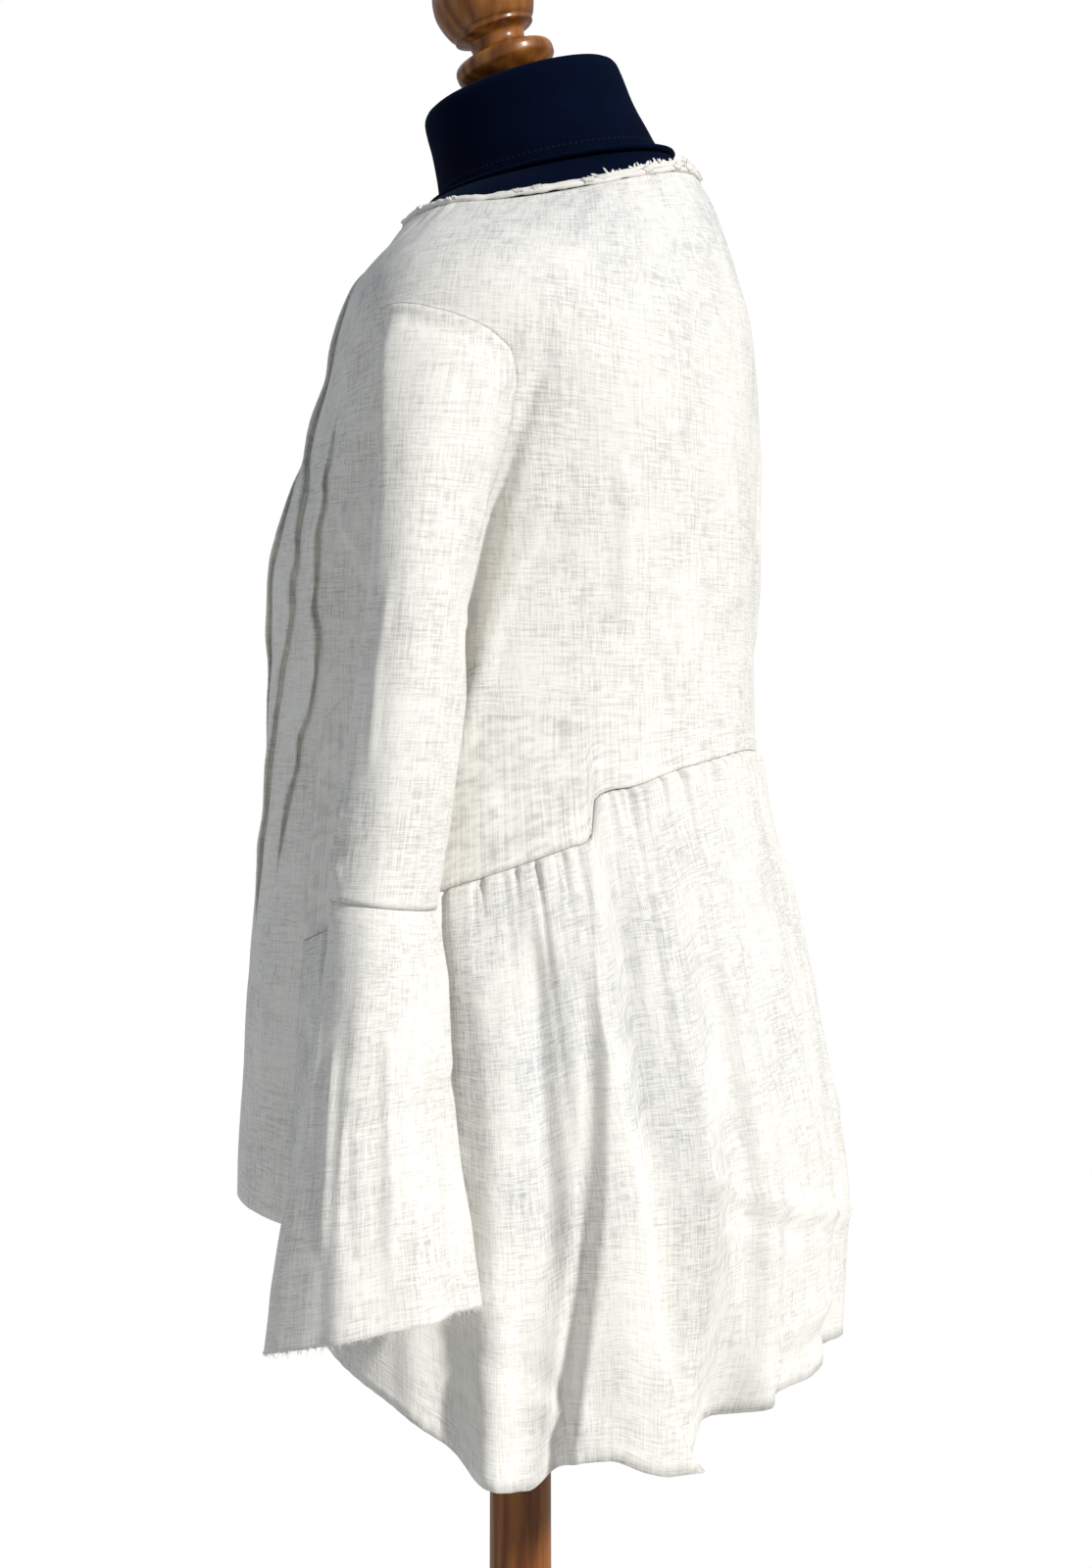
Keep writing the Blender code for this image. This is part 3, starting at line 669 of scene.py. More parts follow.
# The back: one wide panel that wraps forward over the shoulders and round to the same side seams.
# It ends at a seam that slants up to the middle, under a turned band that is stitched down.
SKIRT_TOP = [   # angle, height in m of the gathered seam: wearer's left, where a deep pleat lifts it, then right
    (56, 0.975), (118, 1.031), (122.4, 1.0372), (124.0, 1.0585), (134.4, 1.066), (148.7, 1.077), (180, 1.088),
    (204, 1.079), (242, 1.031), (304, 0.975),
]
BAND = 8.0      # height of the stitched band in mm
BACK_COLUMNS, BELOW_ROWS = 190, 26
SIDE_END = 7.45     # level where the back's edge leaves the armhole's rows for the slanting seam
BACK_CREASES = [
    (9, 7, 1.8, [(131.7, 1.262), (133, 1.21), (131, 1.15)]),
    (8, 10, 2.0, [(165.7, 1.296), (168, 1.24), (170, 1.16)]), (9, 7, -1.6, [(158, 1.25), (160, 1.19), (156, 1.11)]),
    (8, 8, 1.5, [(146, 1.2), (149, 1.14), (146, 1.092)]), (6, 8, 1.5, [(150, 1.408), (143, 1.38), (130, 1.352)]),
    (5, 7, -1.3, [(156, 1.396), (148, 1.368), (137, 1.345)]),
    (7, 5, 1.3, [(172, 1.412), (160, 1.38), (148, 1.35), (140, 1.33)]),
    (9, 9, -1.6, [(120, 1.105), (112, 1.078), (100, 1.05)]), (7, 8, 1.6, [(128, 1.085), (118, 1.06), (106, 1.032)]),
    (7, 6, 1.7, [(94, 1.11), (88, 1.062), (84, 1.018)]), (8, 8, -1.5, [(80, 1.105), (76, 1.05), (70, 1.000)]),
    (10, 8, 2.2, [(238, 1.318), (243, 1.27), (252, 1.206)]),
    (8, 10, -2.4, [(246, 1.326), (252, 1.272), (262, 1.214)]),
    (12, 12, -2.4, [(240, 1.25), (248, 1.18), (258, 1.095)]), (9, 8, 1.8, [(194, 1.29), (192, 1.22), (195, 1.14)]),
    (8, 9, -1.6, [(206, 1.23), (203, 1.16), (208, 1.1)]), (7, 8, 1.4, [(222, 1.18), (219, 1.12), (223, 1.075)]),
    (6, 7, 1.4, [(206, 1.404), (216, 1.372), (230, 1.345)]),
    (8, 7, -1.4, [(196, 1.386), (205, 1.352), (214, 1.325)]),
    (8, 8, 1.6, [(266, 1.105), (272, 1.055), (277, 1.01)]), (7, 9, -1.4, [(282, 1.09), (286, 1.04), (292, 0.998)]),
    (7, 6, 1.2, [(296, 1.07), (298, 1.02), (301, 0.985)]),
]
FOLD_BY_SLEEVE = [  # the deep fold behind each sleeve, with the ridge that ends it
    (8, 14, -12.0, [(110, 1.275), (102.5, 1.222), (99, 1.1875), (94.5, 1.15), (91, 1.11), (88, 1.06)]),
    (6, 8, -3.6, [(119, 1.33), (114, 1.3), (109, 1.265), (104, 1.228)]),
    (4, 12, 3.6, [(119.5, 1.262), (112.5, 1.219), (107.5, 1.1875), (102, 1.152), (97.4, 1.111), (93, 1.07)]),
]


def seam_z(phi):
    return smooth(SKIRT_TOP, phi, 1)


def fold_by_sleeve(phi, z):
    return crease_lift(min(phi, 360 - phi), z, FOLD_BY_SLEEVE)


def eased(share):
    share = clamp(share)
    return share * share * (3 - 2 * share)


def upturn(phi, level):
    """Lift in m of the cloth at the top edge of the armhole, from which the sleeve goes on smoothly."""
    phi = min(phi, 360 - phi)
    if not 70 < phi < 107.8:
        return 0.0
    rim = smooth([(row[2], row[0]) for row in EDGES[4:10]], phi, 1)
    return 1.7 * MM * exp(-abs(rim - level) / 0.16) * min(1.0, (phi - 70) / 6, (107.8 - phi) / 8)


def back_points():
    grid, spread = [], []
    rows = [(level, 0.0) for level in subdivided(KEYS[:-1], LEVEL_REACH)]
    rows += [(SIDE_END, i / BELOW_ROWS) for i in range(1, BELOW_ROWS + 1)]
    for level, below in rows:
        first = edge(level, 2)
        if below:
            join = row_height(DENSE[round(SIDE_END / LEVEL_STEP)], 57)
            first = edge(level_at(57, join + (seam_z(57) - join) * below), 2)
        under = clamp((level - 3.5) / 0.08, (7.06 - level) / 0.08)
        first -= lap(level) * under
        line, turns = [], []
        for c in range(BACK_COLUMNS + 1):
            phi = first + (360 - 2 * first) * c / BACK_COLUMNS
            here = level
            if below:
                top = at_level(phi, SIDE_END).z
                here = level_at(phi, top + (seam_z(phi) - top) * below)
            p = off_form(at_level(phi, here))
            up = (p.z - seam_z(phi)) / MM
            calm = clamp((phi - first) / 5, (360 - first - phi) / 5, up / 14, here / 0.4)
            lift = (crease_lift(phi, p.z, BACK_CREASES) * 1.5 + puckers(p, 1.3)) * calm
            lift += fold_by_sleeve(phi, p.z) * min(1.0, here / 0.4) + upturn(phi, here)
            streak = rough(phi * 0.26 + here * 1.5, here * 0.9, 5.0)
            lift += 1.9 * MM * streak * min(1.0, here / 0.15) * exp(-here / 0.9)
            if c in (0, BACK_COLUMNS):
                lift -= TUCKED * MM * under
            lift += 0.55 * MM * clamp((BAND + 0.9 - up) / 0.9)
            line.append(p + facing(phi, here) * lift)
            turns.append((phi - 180) * MM_PER_DEGREE * MM)
        grid.append(line)
        spread.append(turns)
    return grid, spread


back = panel("linen_back", *back_points())
for share, v in zip(back.data.attributes["near_form"].data, back.data.vertices):
    if v.co.z < seam_z(degrees(atan2(v.co.x, -v.co.y)) % 360) + BAND * MM:
        share.value = 0.0       # the form doesn't show through the doubled cloth of the band
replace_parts(back, "blouse_back")

thread, _, shader = new_material("linen_thread", {
    "Base Color": (0.8, 0.77, 0.69, 1), "Roughness": 0.8, "Specular IOR Level": 0.2,
})
for name, up in (("band_stitches_low", 1.6), ("band_stitches_high", BAND - 1.2)):
    line, outs = [], []
    for i in range(401):
        phi = 57 + 246 * i / 400
        here = level_at(phi, seam_z(phi) + up * MM)
        outs.append(facing(phi, here))
        line.append(off_form(at_level(phi, here)) + outs[-1] * 0.62 * MM)
    stitch_row(name, line, outs, 2.2 * MM, 1.0 * MM, 0.26 * MM, thread)

# The skirt: a wide straight length of linen, gathered onto the back's slanting seam from one side
# seam to the other. It falls in deep flutes to a narrow rolled hem that dips behind each hip.
SKIRT_HEM = [   # angle, height in m
    (56, .785), (67, .744), (82, .714), (93, .69), (100, .67), (108, .666), (114, .682), (121, .684), (127, .676),
    (132, .672), (139.5, .674), (142.5, .697), (148, .7), (160, .706), (177, .724), (190, .727), (205, .712),
    (222, .69), (236, .672), (246, .684), (256, .668), (268, .69), (280, .714), (293, .744), (304, .785),
]
SKIRT_DRIFT = [(56, 0), (88, 6), (125, 8), (150, 3), (180, 0)]  # angle at the seam, swing back at the hem
GATHERS, PER_GATHER, SKIRT_ROWS = 72, 8, 72
SKIRT_CUT = 1.18    # width of the flat length in m, before it is gathered
SKIRT_FROM, SKIRT_SPAN = 56.1, 247.8        # degrees
FLUTES = [  # angle at the seam, at the hem, degrees left and right, depth in mm, 1 where its edge is sharp
    (88, 94, 8, 7, -8, 0), (99, 102, 7, 5, 10, 0), (108, 109.5, 6, 5, -4, 0), (148, 152, 6, 7, 10, 0),
    (158, 161, 6, 6, -7, 0), (168, 170, 7, 7, 5, 0), (178, 179, 6, 7, -5, 0), (191, 191, 9, 9, 5, 0),
    (212, 209, 9, 10, -7, 0), (226, 222, 9, 8, 12, 0), (238, 234, 8, 8, -10, 0), (247, 243, 7, 7, 16, 1),
    (259, 255, 6, 6, -6, 0), (270, 264, 7, 8, 10, 0), (284, 276, 8, 8, -7, 0),
]
PLEAT_LEFT, PLEAT_RISE, PLEAT_DIP = (120.8, 112.8), 12.0, 13.0   # its angle at the seam and hem, mm up and down
PLEAT_EDGE = [  # share of the drop, angle of the pleat's sharp edge
    (0, 122.4), (0.25, 120.9), (0.45, 123.5), (0.6, 125.6), (0.73, 128), (0.84, 131), (0.94, 135), (1.0, 139.5),
]
SKIRT_CREASES = [
    (9, 8, -4.0, [(108.3, 1.01), (108.8, .95), (109, .89), (109.6, .83), (110, .77)]),
    (5, 8, 3.6, [(136, .842), (143, .829), (153, .818), (176, .81), (200, .803)]),
    (8, 6, -3.0, [(139, .829), (150, .812), (166, .8)]),
    (6, 7, 3.2, [(189, .771), (176, .76), (164, .747), (156, .728), (151, .706)]),
    (6, 8, -2.4, [(184, .752), (168, .733), (158, .712)]),
    (6, 9, 2.8, [(190, 1.03), (193, 1.005), (197, .957), (198, .905)]),
    (9, 6, -2.6, [(184, 1.01), (188, .96), (190, .9), (186, .85)]),
    (8, 9, 2.2, [(150, 1.04), (154, .985), (150, .92)]), (8, 8, -2.2, [(160, 1.01), (164, .95), (160, .88)]),
    (7, 7, 2.0, [(170, .96), (174, .9), (180, .85)]), (6, 7, 2.0, [(74, .93), (86, .88), (98, .84)]),
    (7, 6, -1.8, [(72, .9), (84, .85), (94, .8)]), (6, 6, 1.8, [(84, .8), (98, .772), (112, .76)]),
    (6, 8, -2.0, [(92, .76), (104, .735), (116, .722)]), (5, 6, 1.8, [(104, .722), (114, .706), (121, .7)]),
    (6, 6, 2.0, [(126, .735), (134, .716), (141, .706)]), (7, 6, 2.0, [(60, .96), (62, .9), (66, .83)]),
    (6, 8, 2.6, [(214, .905), (205, .88), (192, .862)]), (8, 6, -2.4, [(220, .88), (208, .855), (196, .842)]),
    (7, 8, 2.2, [(206, 1.03), (203, .97), (207, .91)]), (7, 7, 2.0, [(262, .91), (252, .872), (246, .846)]),
    (6, 7, -2.0, [(286, .9), (276, .86), (266, .838)]), (6, 6, 1.8, [(228, .768), (240, .742), (250, .728)]),
    (7, 7, 2.0, [(298, .95), (296, .89), (292, .83)]),
]
draw = random.Random(11)
GATHER_STEP = SKIRT_SPAN / GATHERS
GATHER_FORM = [     # each small gather's angle, depth and half width in mm, share of the drop it reaches, lean
    (SKIRT_FROM + GATHER_STEP * (i + draw.uniform(0.05, 0.95)),
     draw.choice((1.4, 2.4, 3.4, 4.4)) * draw.uniform(0.8, 1.2), draw.uniform(1.7, 3.0),
     draw.choice((0.02, 0.035, 0.06, 0.1, 0.2)) * draw.uniform(0.8, 1.3), draw.uniform(-5, 5))
    for i in range(GATHERS)
]


def gathers(start, drop):
    """Depth in mm of the narrow valleys that the gathering thread draws in just below the seam."""
    total = 0.0
    at = int((start - SKIRT_FROM) / GATHER_STEP)
    for angle, deep, wide, reach, lean in GATHER_FORM[max(0, at - 2):at + 3]:
        x = (start - angle - lean * drop) * 2.9 / wide
        total -= deep * exp(-x * x - drop / reach) * (1 + 0.9 * exp(-drop / 0.02))
    return total


def flute(phi, drop):
    total = 0.0
    for top, low, left, right, deep, sharp in FLUTES:
        x = (phi - top - (low - top) * drop) / (left if phi < top + (low - top) * drop else right)
        if abs(x) < 1:
            round_top = 0.5 * (1 + cos(pi * x))
            total += deep * ((1 - abs(x)) ** (1.9 if x < 0 else 1.2) if sharp else round_top)
    return total * drop ** 0.85 * MM


def pleat(phi, drop):
    """The pleat under the seam's step: a broad face that rises at a valley and falls at a sharp edge."""
    left, right = PLEAT_LEFT[0] + (PLEAT_LEFT[1] - PLEAT_LEFT[0]) * drop, smooth(PLEAT_EDGE, drop, 1)
    total = PLEAT_RISE * eased((phi - left) / 2.4) * eased((right + 1.2 - phi) / 2.2)
    if left - 3 < phi < left + 1:
        total -= 2.6 * sin(pi * (phi - left + 3) / 4) ** 2
    if 0 < phi - right + 1 < 15:
        total -= PLEAT_DIP * sin(pi * ((phi - right + 1) / 15) ** 0.55)
    return total * min(1.0, 0.15 + 1.05 * drop) * MM


def skirt_points():
    columns = GATHERS * PER_GATHER
    grid, spread = [], []
    for r in range(SKIRT_ROWS + 1):
        drop = (max(0, r - 1) / (SKIRT_ROWS - 1)) ** 1.6
        line = []
        for c in range(columns + 1):
            start = SKIRT_FROM + SKIRT_SPAN * c / columns
            drift = smooth(SKIRT_DRIFT, min(start, 360 - start), 1)
            phi = start + copysign(drift, 180 - start) * drop
            z0, z1 = seam_z(start), smooth(SKIRT_HEM, phi, 1)
            z = z0 + (z1 - z0) * drop + (2.2 * MM if r == 0 else 0)
            p = at_level(phi, level_at(phi, z))
            out = Vector((sin(radians(phi)), -cos(radians(phi)), 0))
            fade = min(1.0, c / 18, (columns - c) / 18)
            puff = 4.4 * min(1.0, drop / 0.006) * exp(-drop / 0.3)
            uneven = 2.6 * rough(start * 0.115, drop * 2.2, 3.0) * min(1.0, drop * 9)
            uneven += 1.7 * rough(start * 0.31, drop * 3.4, 9.0) * min(1.0, drop * 14) * exp(-drop)
            bulge = 3.0 * sin(pi * min(1, drop * 4))
            drawn_in = gathers(start, drop) * min(1.0, drop / 0.005)
            lift = flute(phi, drop) + pleat(phi, drop) + (bulge + puff + uneven + drawn_in) * MM
            lift += (crease_lift(phi, z, SKIRT_CREASES, 3.1) * 1.4 + puckers(p, 1.3)) * min(1.0, drop * 8)
            from_hem = (z - z1) / MM
            lift += (0.45 + 0.25 * sin(start * 3.1)) * MM * clamp((6.0 - from_hem) / 1.2)
            line.append(p + out * (lift * fade - 0.9 * MM * max(0.0, 1 - drop / 0.002)))
        grid.append(line)
        spread.append([SKIRT_CUT * c / columns for c in range(columns + 1)])
    return grid, spread


SKIRT_SHADE_REACH = 62 * MM       # how far off the form the skirt is tinted bluish grey: near the form the form shows through, and further off the tint is painted shade, deepest in the skirt's valleys
skirt = panel("linen_skirt", *skirt_points(), reach=SKIRT_SHADE_REACH)
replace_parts(skirt, "blouse_skirt")

# The sleeves: set in at the armholes, cut as one piece each with a seam under the arm, and
# narrowing only a little to the elbow, where the flounce is sewn on.
SLEEVE = [  # share of the way down, inner x and z, outer x and z, middle y and half depth, in mm but z in m
    (0.0, 169, 1.139, 192, 1.333, 10, 44), (0.1, 174.5, 1.136, 211, 1.316, 9, 37),
    (0.22, 176, 1.129, 229, 1.286, 6, 31), (0.36, 176, 1.116, 245, 1.238, 3, 26),
    (0.52, 176, 1.097, 255, 1.175, 0, 25.5), (0.68, 176, 1.068, 260, 1.11, -6, 27),
    (0.84, 177, 1.035, 263, 1.052, -12, 28.5), (1.0, 178, 1.0, 268, 1.0, -17, 26.8),
]
SLEEVE_SIDES, SLEEVE_ROWS, FLATTER, SLANT = 96, 96, 0.55, 0.14
SLEEVE_CREASES = [  # turns: 0 outside, 90 behind, 180 under the arm, 270 in front
    (5, 7, 1.8, [(300, .06), (296, .16), (290, .3)]), (6, 5, -1.6, [(288, .08), (284, .2), (282, .34)]),
    (7, 6, 1.6, [(262, .46), (268, .6), (264, .74)]), (6, 6, 2.0, [(284, .76), (300, .82), (318, .86)]),
    (5, 6, -1.8, [(286, .82), (304, .87), (326, .9)]), (6, 6, 1.6, [(290, .9), (306, .94), (330, .955)]),
    (8, 8, -1.4, [(30, .1), (44, .24), (50, .4)]), (8, 7, 1.5, [(62, .12), (72, .28), (74, .46)]),
    (7, 7, -1.4, [(90, .38), (84, .54), (88, .7)]), (7, 8, 1.4, [(58, .58), (66, .74), (60, .92)]),
    (6, 6, 1.8, [(150, .12), (140, .22), (120, .28)]), (6, 6, -1.6, [(160, .24), (146, .34), (124, .4)]),
    (6, 6, 1.6, [(205, .16), (222, .26), (240, .34)]), (7, 7, 1.2, [(350, .48), (345, .62), (352, .8)]),
]
SLEEVE_MM_PER_TURN, SLEEVE_DROP = 0.8, 0.33      # mm round the sleeve for each degree, its length in m


def armhole_path():
    """The armhole's edge from its top, down behind, and up in front, with the length to each point."""
    behind, ahead = [subdivided(KEYS[first:KEYS.index(7.06) + 1], 0.06) for first in (4, 3)]
    path = [(lv, 2) for lv in behind] + [(lv, 1) for lv in reversed(ahead[:-1])]
    path += [(3.5, 1), (3.54, 2), (3.58, 2), (3.62, 2), (3.66, 2)]
    points, outs, onward = [], [], []
    for lv, side in path:
        phi = edge(lv, side)
        p = off_form(at_level(phi, lv))
        outs.append(facing(phi, lv))
        points.append(p + outs[-1] * (fold_by_sleeve(phi, p.z) + upturn(phi, lv)))
    last = len(points) - 1
    for i in range(last + 1):
        along = points[(i + 1) % last] - points[(i - 1) % last]
        onward.append(along.cross(outs[i]).normalized())
    return points, onward, lengths(points), len(behind) - 1


hole_points, hole_onward, hole_lengths, hole_low = armhole_path()


def armhole(turn):
    low, full = hole_lengths[hole_low], hole_lengths[-1]
    want = low * turn / 180 if turn <= 180 else low + (full - low) * (turn - 180) / 180
    i = max(j for j in range(len(hole_points) - 1) if hole_lengths[j] <= want + 1e-12)
    share = (want - hole_lengths[i]) / max(hole_lengths[i + 1] - hole_lengths[i], 1e-9)
    return [row[i].lerp(row[i + 1], min(share, 1)) for row in (hole_points, hole_onward)]


def sleeve_point(row, turn):
    _, xi, zi, xo, zo, mid, half = row
    a = radians(turn)
    across = cos(a)
    if 270 < turn < 360:        # the outer front quarter hangs flatter
        across **= 1 - FLATTER * min(1.0, row[0] / 0.36)
    inner, outer = Vector((xi * MM, 0, zi)), Vector((xo * MM, 0, zo))
    slope = SLANT * half * sin(a) * MM if row[0] == 1 else 0.0
    return (inner + outer) / 2 + (outer - inner) / 2 * across + Vector((0, (mid + half * sin(a)) * MM, -slope))


def tube_turn(c, sides):
    """The turn of a tube's column: they start under the arm."""
    return (360 * c / sides + 180) % 360


def outward(grid, r, c):
    """The direction out of a tube at one of its points, from the points around it."""
    down = grid[min(r + 1, len(grid) - 1)][c] - grid[max(r - 1, 0)][c]
    return down.cross(grid[r][(c + 1) % len(grid[r])] - grid[r][c - 1]).normalized()


def creased(plain, lift):
    """A tube's points moved outward by lift(its row, its turn, the point)."""
    return [[p + outward(plain, r, c) * lift(r, tube_turn(c, len(row)), p) for c, p in enumerate(row)]
            for r, row in enumerate(plain)]


def sleeve_points(skew):
    columns = []
    for c in range(SLEEVE_SIDES):
        turn = tube_turn(c, SLEEVE_SIDES)
        hole, onward = armhole(turn)
        reach = (sleeve_point(SLEEVE[-1], turn) - hole).length
        toward = (sleeve_point(SLEEVE[1], turn) - hole).normalized()
        onward *= eased((turn - 340) / 20 if turn > 180 else (150 - turn) / 60)
        smoothly = (onward + toward).normalized()
        table = [(0.0, *(hole + toward * 0.1 * MM)), (0.03, *(hole + smoothly * 0.03 * reach))]
        for row in SLEEVE[1:]:
            keep = max(0.0, 1 - row[0] / 0.45) * 0.8
            shift = hole - sleeve_point(SLEEVE[0], turn)
            table.append((row[0], *(sleeve_point(row, turn) + Vector((0, shift.y, shift.z * 0.5)) * keep)))
        columns.append([Vector([smooth(table, r / SLEEVE_ROWS, k) for k in (1, 2, 3)])
                        for r in range(SLEEVE_ROWS + 1)])
    creases = [(left, right, deep * skew, [(turn, -at * SLEEVE_DROP) for turn, at in points])
               for left, right, deep, points in SLEEVE_CREASES]

    def lift(r, turn, p):
        s = r / SLEEVE_ROWS
        calm = clamp(s / 0.05, (1 - s) / 0.03)
        return (crease_lift(turn, -s * SLEEVE_DROP, creases, SLEEVE_MM_PER_TURN) + puckers(p)) * calm

    return creased(list(zip(*columns)), lift)


def linen_tube(name, grid, side, cut):
    """A tube of linen for the wearer's left, or mirrored for the right where side is -1."""
    sides = len(grid[0])
    bm = grid_mesh(sides, len(grid) - 1, lambda c, r: grid[r][c % sides], cut, ring=True)
    bmesh.ops.scale(bm, vec=(side, 1, 1), verts=bm.verts)
    bm.normal_update()
    centre = sum((v.co for v in bm.verts), Vector()) / len(bm.verts)
    if sum((f.normal.dot(f.calc_center_median() - centre) for f in bm.faces)) < 0:
        bmesh.ops.reverse_faces(bm, faces=bm.faces)
    return linen_piece(name, bm)


def sleeve_cut(c, r):
    """The sleeve laid flat, from its seam under the arm: how far round it a point lies, and how high."""
    return spans[r][c] - spans[r][SLEEVE_SIDES // 2], grid[r][c % SLEEVE_SIDES].z


ARMS = (("left", 1, 1.0), ("right", -1, 0.8))        # side, and how deep its creases are
for word, side, skew in ARMS:
    grid = sleeve_points(skew)
    spans = [[0.0] for row in grid]
    for span, row in zip(spans, grid):
        for p, q in zip(row, row[1:] + row[:1]):
            span.append(span[-1] + hypot(q.x - p.x, q.y - p.y))
    sleeve = linen_tube("linen_sleeve_" + word, grid, side, sleeve_cut)
    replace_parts(sleeve, "sleeve_" + word)

# The flounces: flared linen cuffs, cut on a curve and sewn on at the elbow, so that they fall in
# soft waves. Their ends are left raw, and loose threads fray out of the weave there.
FLOUNCE = [     # height in m, inner and outer x, middle y, half depth, waves, and how much lower in front, in mm
    (0.99955, 178, 268, -17, 26.8, 0, 0), (0.982, 179, 272, -15, 28.0, 0.4, 1),
    (0.955, 182, 279, -13.5, 30.5, 1.2, 3), (0.915, 188, 291, -13.5, 34, 2.2, 5), (0.87, 194, 303, -14, 39, 3.2, 7),
    (0.82, 200, 315, -12.5, 47, 4.2, 9), (0.768, 207, 326, -10, 54, 5.2, 11),
]
FLOUNCE_SIDES, FLOUNCE_ROWS, FLOUNCE_MM_PER_TURN, FLOUNCE_CUT = 168, 84, 1.3, 0.33
FLOUNCE_CREASES = [     # turn and height
    (9, 9, 1.0, [(300, .975), (312, .92), (320, .86)]), (9, 9, -1.0, [(285, .96), (298, .9), (306, .83)]),
    (8, 8, 2.0, [(336, .93), (344, .87), (348, .8)]), (9, 7, -1.8, [(356, .95), (2, .88), (6, .8)]),
    (8, 9, 2.0, [(28, .94), (34, .87), (30, .79)]), (7, 7, -1.8, [(58, .96), (56, .9), (62, .83)]),
    (7, 7, 1.8, [(76, .9), (72, .84), (78, .785)]), (6, 6, 1.8, [(262, .93), (256, .87), (262, .8)]),
    (6, 6, -1.4, [(120, .94), (126, .86), (118, .8)]),
]


def flounce_points(skew):
    plain = []
    top, end = FLOUNCE[0][0], FLOUNCE[-1][0]
    for r in range(FLOUNCE_ROWS + 1):
        z = top + (end - top) * r / FLOUNCE_ROWS
        inside = (1.1, 0.9, 0.3)[r] if r < 3 else 0.0
        xi, xo, mid, half, deep, dip = [smooth(FLOUNCE, z, k) for k in range(1, 7)]
        line = []
        for c in range(FLOUNCE_SIDES):
            t = tube_turn(c, FLOUNCE_SIDES)
            a = radians(t)
            calm = 1 - 0.75 * eased((t - 255) / 25) * eased((360 - t) / 15)
            wave = deep * calm * (0.75 * cos(radians(6 * t + 40)) + 0.35 * cos(radians(4 * t - 70)))
            x, y = (xo - xi) / 2 * cos(a), half * sin(a)
            if 270 < t < 360:
                x = (xo - xi) / 2 * cos(a) ** (1 - FLATTER)
            grow = 1 + wave * (0.35 if cos(a) < -0.5 else 1.0) / hypot(x, y)
            grow -= inside / hypot(x, y)
            rise = (2.2 if r == 0 else 0.0) - SLANT * half * sin(a) * (1 - r / FLOUNCE_ROWS) ** 5
            rise *= MM
            if r == FLOUNCE_ROWS:
                rise = 1.6 * MM * rough(c * 0.9, xi, 2.0)
            line.append(Vector((((xi + xo) / 2 + x * grow) * MM, (mid + y * grow) * MM,
                                z + dip * sin(a) * MM + rise)))
        plain.append(line)
    return creased(plain, lambda r, turn, p: (
        crease_lift(turn, p.z, FLOUNCE_CREASES, FLOUNCE_MM_PER_TURN) * skew + puckers(p, 1.2)) * min(1.0, r / 5))


def bridge(bm, low, high):
    """Faces between two rings of vertices."""
    for k in range(len(low)):
        bm.faces.new((low[k], low[(k + 1) % len(low)], high[(k + 1) % len(low)], high[k]))


def strand(bm, start, end, thick):
    """One loose thread with three sides, thinner at its end, with its root in the cloth."""
    along = end - start
    across = along.cross(Vector((0.3, 1.0, 0.2))).normalized() * thick
    other = along.normalized().cross(across)
    rings = []
    for spot, wide in ((start, 1.0), (start.lerp(end, 0.6) + across * 1.5, 0.8), (end, 0.35)):
        rings.append([bm.verts.new(spot + (across * cos(a) + other * sin(a)) * wide)
                      for a in (0, 2.094, 4.189)])
    for low, high in zip(rings, rings[1:]):
        bridge(bm, low, high)
    bm.faces.new(rings[0][::-1])
    bm.faces.new(rings[-1])


FRAY_THREADS, FRAY_LENGTH, FRAY_THICK = 420, (0.8, 4.6), 0.17     # threads at each raw end, mm long and thick
FRAY_LOWEST = 0.7565        # height in m that no thread hangs below
draw = random.Random(23)
for word, side, skew in ARMS:
    grid = flounce_points(skew)
    down = lengths([row[FLOUNCE_SIDES // 2] for row in grid])
    flounce = linen_tube("linen_flounce_" + word, grid, side,
                         lambda c, r: (FLOUNCE_CUT * c / FLOUNCE_SIDES, -down[r]))
    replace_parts(flounce, "flounce_" + word)
    bm = bmesh.new()
    for i in range(FRAY_THREADS):
        at = draw.uniform(0, FLOUNCE_SIDES)
        c = int(at)
        end, above = [row[c].lerp(row[(c + 1) % FLOUNCE_SIDES], at - c) for row in (grid[-1], grid[-3])]
        drop = (end - above).normalized()
        ahead = (grid[-1][(c + 1) % FLOUNCE_SIDES] - grid[-1][c]).normalized()
        out = outward(grid, FLOUNCE_ROWS, c)
        reach = draw.uniform(*FRAY_LENGTH) * draw.uniform(0.35, 1.0) * MM
        tip = end + drop * reach + ahead * draw.uniform(-0.7, 0.7) * reach + out * draw.uniform(-0.5, 0.4) * reach
        tip.z = max(tip.z, FRAY_LOWEST)
        strand(bm, end - drop * 1.2 * MM - out * WALL / 2, tip, FRAY_THICK * MM)
    bmesh.ops.scale(bm, vec=(side, 1, 1), verts=bm.verts)
    bmesh.ops.recalc_face_normals(bm, faces=bm.faces)
    add_piece(bm, "frayed_end_" + word, thread)

# The neckline: the cut edge is rolled twice and caught down with small knots, and its raw ends
# stand up as tufts. It has no collar or facing.
TRIM_SIDES, TRIM_CLEAR = 240, 3.4       # steps round the neck, and mm from the cloth's face to the form
draw = random.Random(5)


def neck_edge(phi, rise, out):
    """A point above the cut neckline, by its rise in mm and how far it stands off the cloth in mm."""
    low, high = at_level(phi, 0.25), at_level(phi, 0)
    up = (high - low).normalized()
    return off_form(high + up * rise * MM, WALL + TRIM_CLEAR * MM) + facing(phi, 0.05) * out * MM


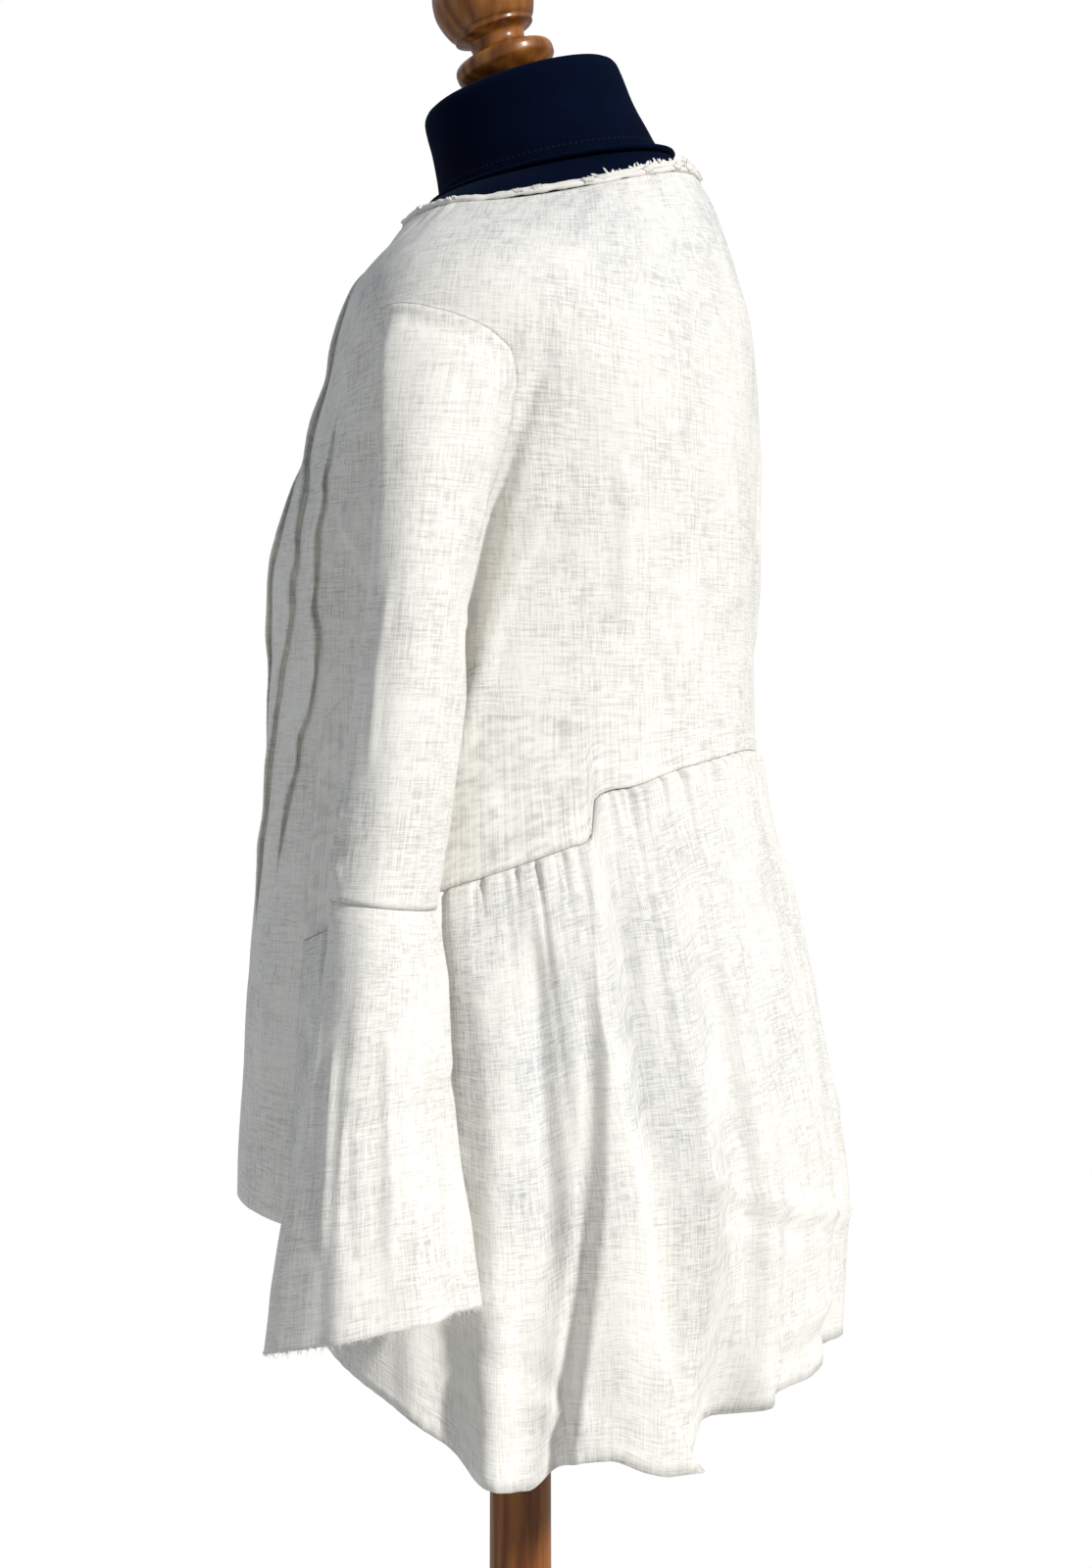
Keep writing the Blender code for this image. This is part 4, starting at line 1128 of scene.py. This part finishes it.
def rolled_edge(bm, rise, out, thick, seed):
    """A soft uneven roll of cloth round the neckline."""
    def jog(shift, step):
        return rough(seed + shift, i * step, 0)

    at, rings = [], []
    for i in range(TRIM_SIDES):
        at.append(neck_edge(360 * i / TRIM_SIDES, rise + 0.9 * jog(0, 0.21), out + 0.5 * jog(9, 0.33)))
    for i in range(TRIM_SIDES):
        ahead = (at[(i + 1) % TRIM_SIDES] - at[i - 1]).normalized()
        across = ahead.cross(Vector((0, 0, 1))).normalized()
        up = across.cross(ahead)
        fat = thick * (1 + 0.45 * jog(20, 0.45)) * MM
        rings.append([bm.verts.new(at[i] + (across * cos(a) * 0.8 + up * sin(a)) * fat)
                      for a in [2 * pi * k / 8 for k in range(8)]])
    for low, high in zip(rings, rings[1:] + rings[:1]):
        bridge(bm, low, high)


def lump(bm, spot, along, out, sizes):
    """A small rounded lump of cloth: sizes are its half length, half width and half thickness in mm."""
    across = out.cross(along).normalized()
    axes = [axis * size * MM for axis, size in zip((along, across, out), sizes)]
    bmesh.ops.create_uvsphere(bm, u_segments=8, v_segments=6, radius=1.0, matrix=placed(spot, *axes))


ROLLS = [(1.4, 0.9, 1.75, 3.0), (4.9, 0.6, 1.6, 14.0), (7.2, 0.2, 1.0, 31.0)]   # rise, out, thickness in mm, seed
bm = bmesh.new()
for roll in ROLLS:
    rolled_edge(bm, *roll)
bmesh.ops.recalc_face_normals(bm, faces=bm.faces)
KNOT_TURNS = [12, 31, 55, 78, 104, 110, 126, 131, 148, 163, 171, 188, 204, 219, 232, 250, 268, 291, 317, 340]
for turn in KNOT_TURNS:
    spot, out = neck_edge(turn, 2.6, 2.6), facing(turn, 0.05)
    along = (neck_edge(turn + 1, 2.6, 2.6) - spot).normalized()
    up = along.cross(out)
    for k in range(4):      # a knot is a few turns of thread side by side
        lean = (along * 0.55 + up * draw.uniform(0.6, 1.0)).normalized()
        lump(bm, spot + along * (k - 1.5) * 1.6 * MM + up * draw.uniform(-0.7, 0.7) * MM, lean,
             lean.cross(along).normalized(), (draw.uniform(2.2, 3.3), 0.9, 0.9))
TUFTS, THICK_FROM, THICK_TO = 190, 128, 232      # petals of raw edge, thickest round the back of the neck
for i in range(TUFTS):
    turn = draw.uniform(THICK_FROM, THICK_TO) if i % 3 else draw.uniform(0, 360)
    full = 1.0 if THICK_FROM < turn < THICK_TO else 0.55
    spot, out = neck_edge(turn, draw.uniform(3.6, 7.0), draw.uniform(-0.3, 1.3)), facing(turn, 0.05)
    along = (neck_edge(turn + 1, 5, 0) - neck_edge(turn, 5, 0)).normalized()
    up = out.cross(along) * (1 if out.cross(along).z > 0 else -1)
    lean = up * draw.uniform(0.35, 1.2) + along * draw.uniform(-1.1, 1.1) + out * draw.uniform(-0.1, 0.5)
    lean.normalize()
    long = draw.uniform(1.6, 3.4) * full
    wide = draw.uniform(0.7, 1.3) * (0.6 + 0.4 * full)
    lump(bm, spot + lean * long * 0.6 * MM, lean, out, (long, wide, draw.uniform(0.3, 0.55)))
trim = add_piece(bm, "neck_roll", linen)
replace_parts(trim, "neck_trim")
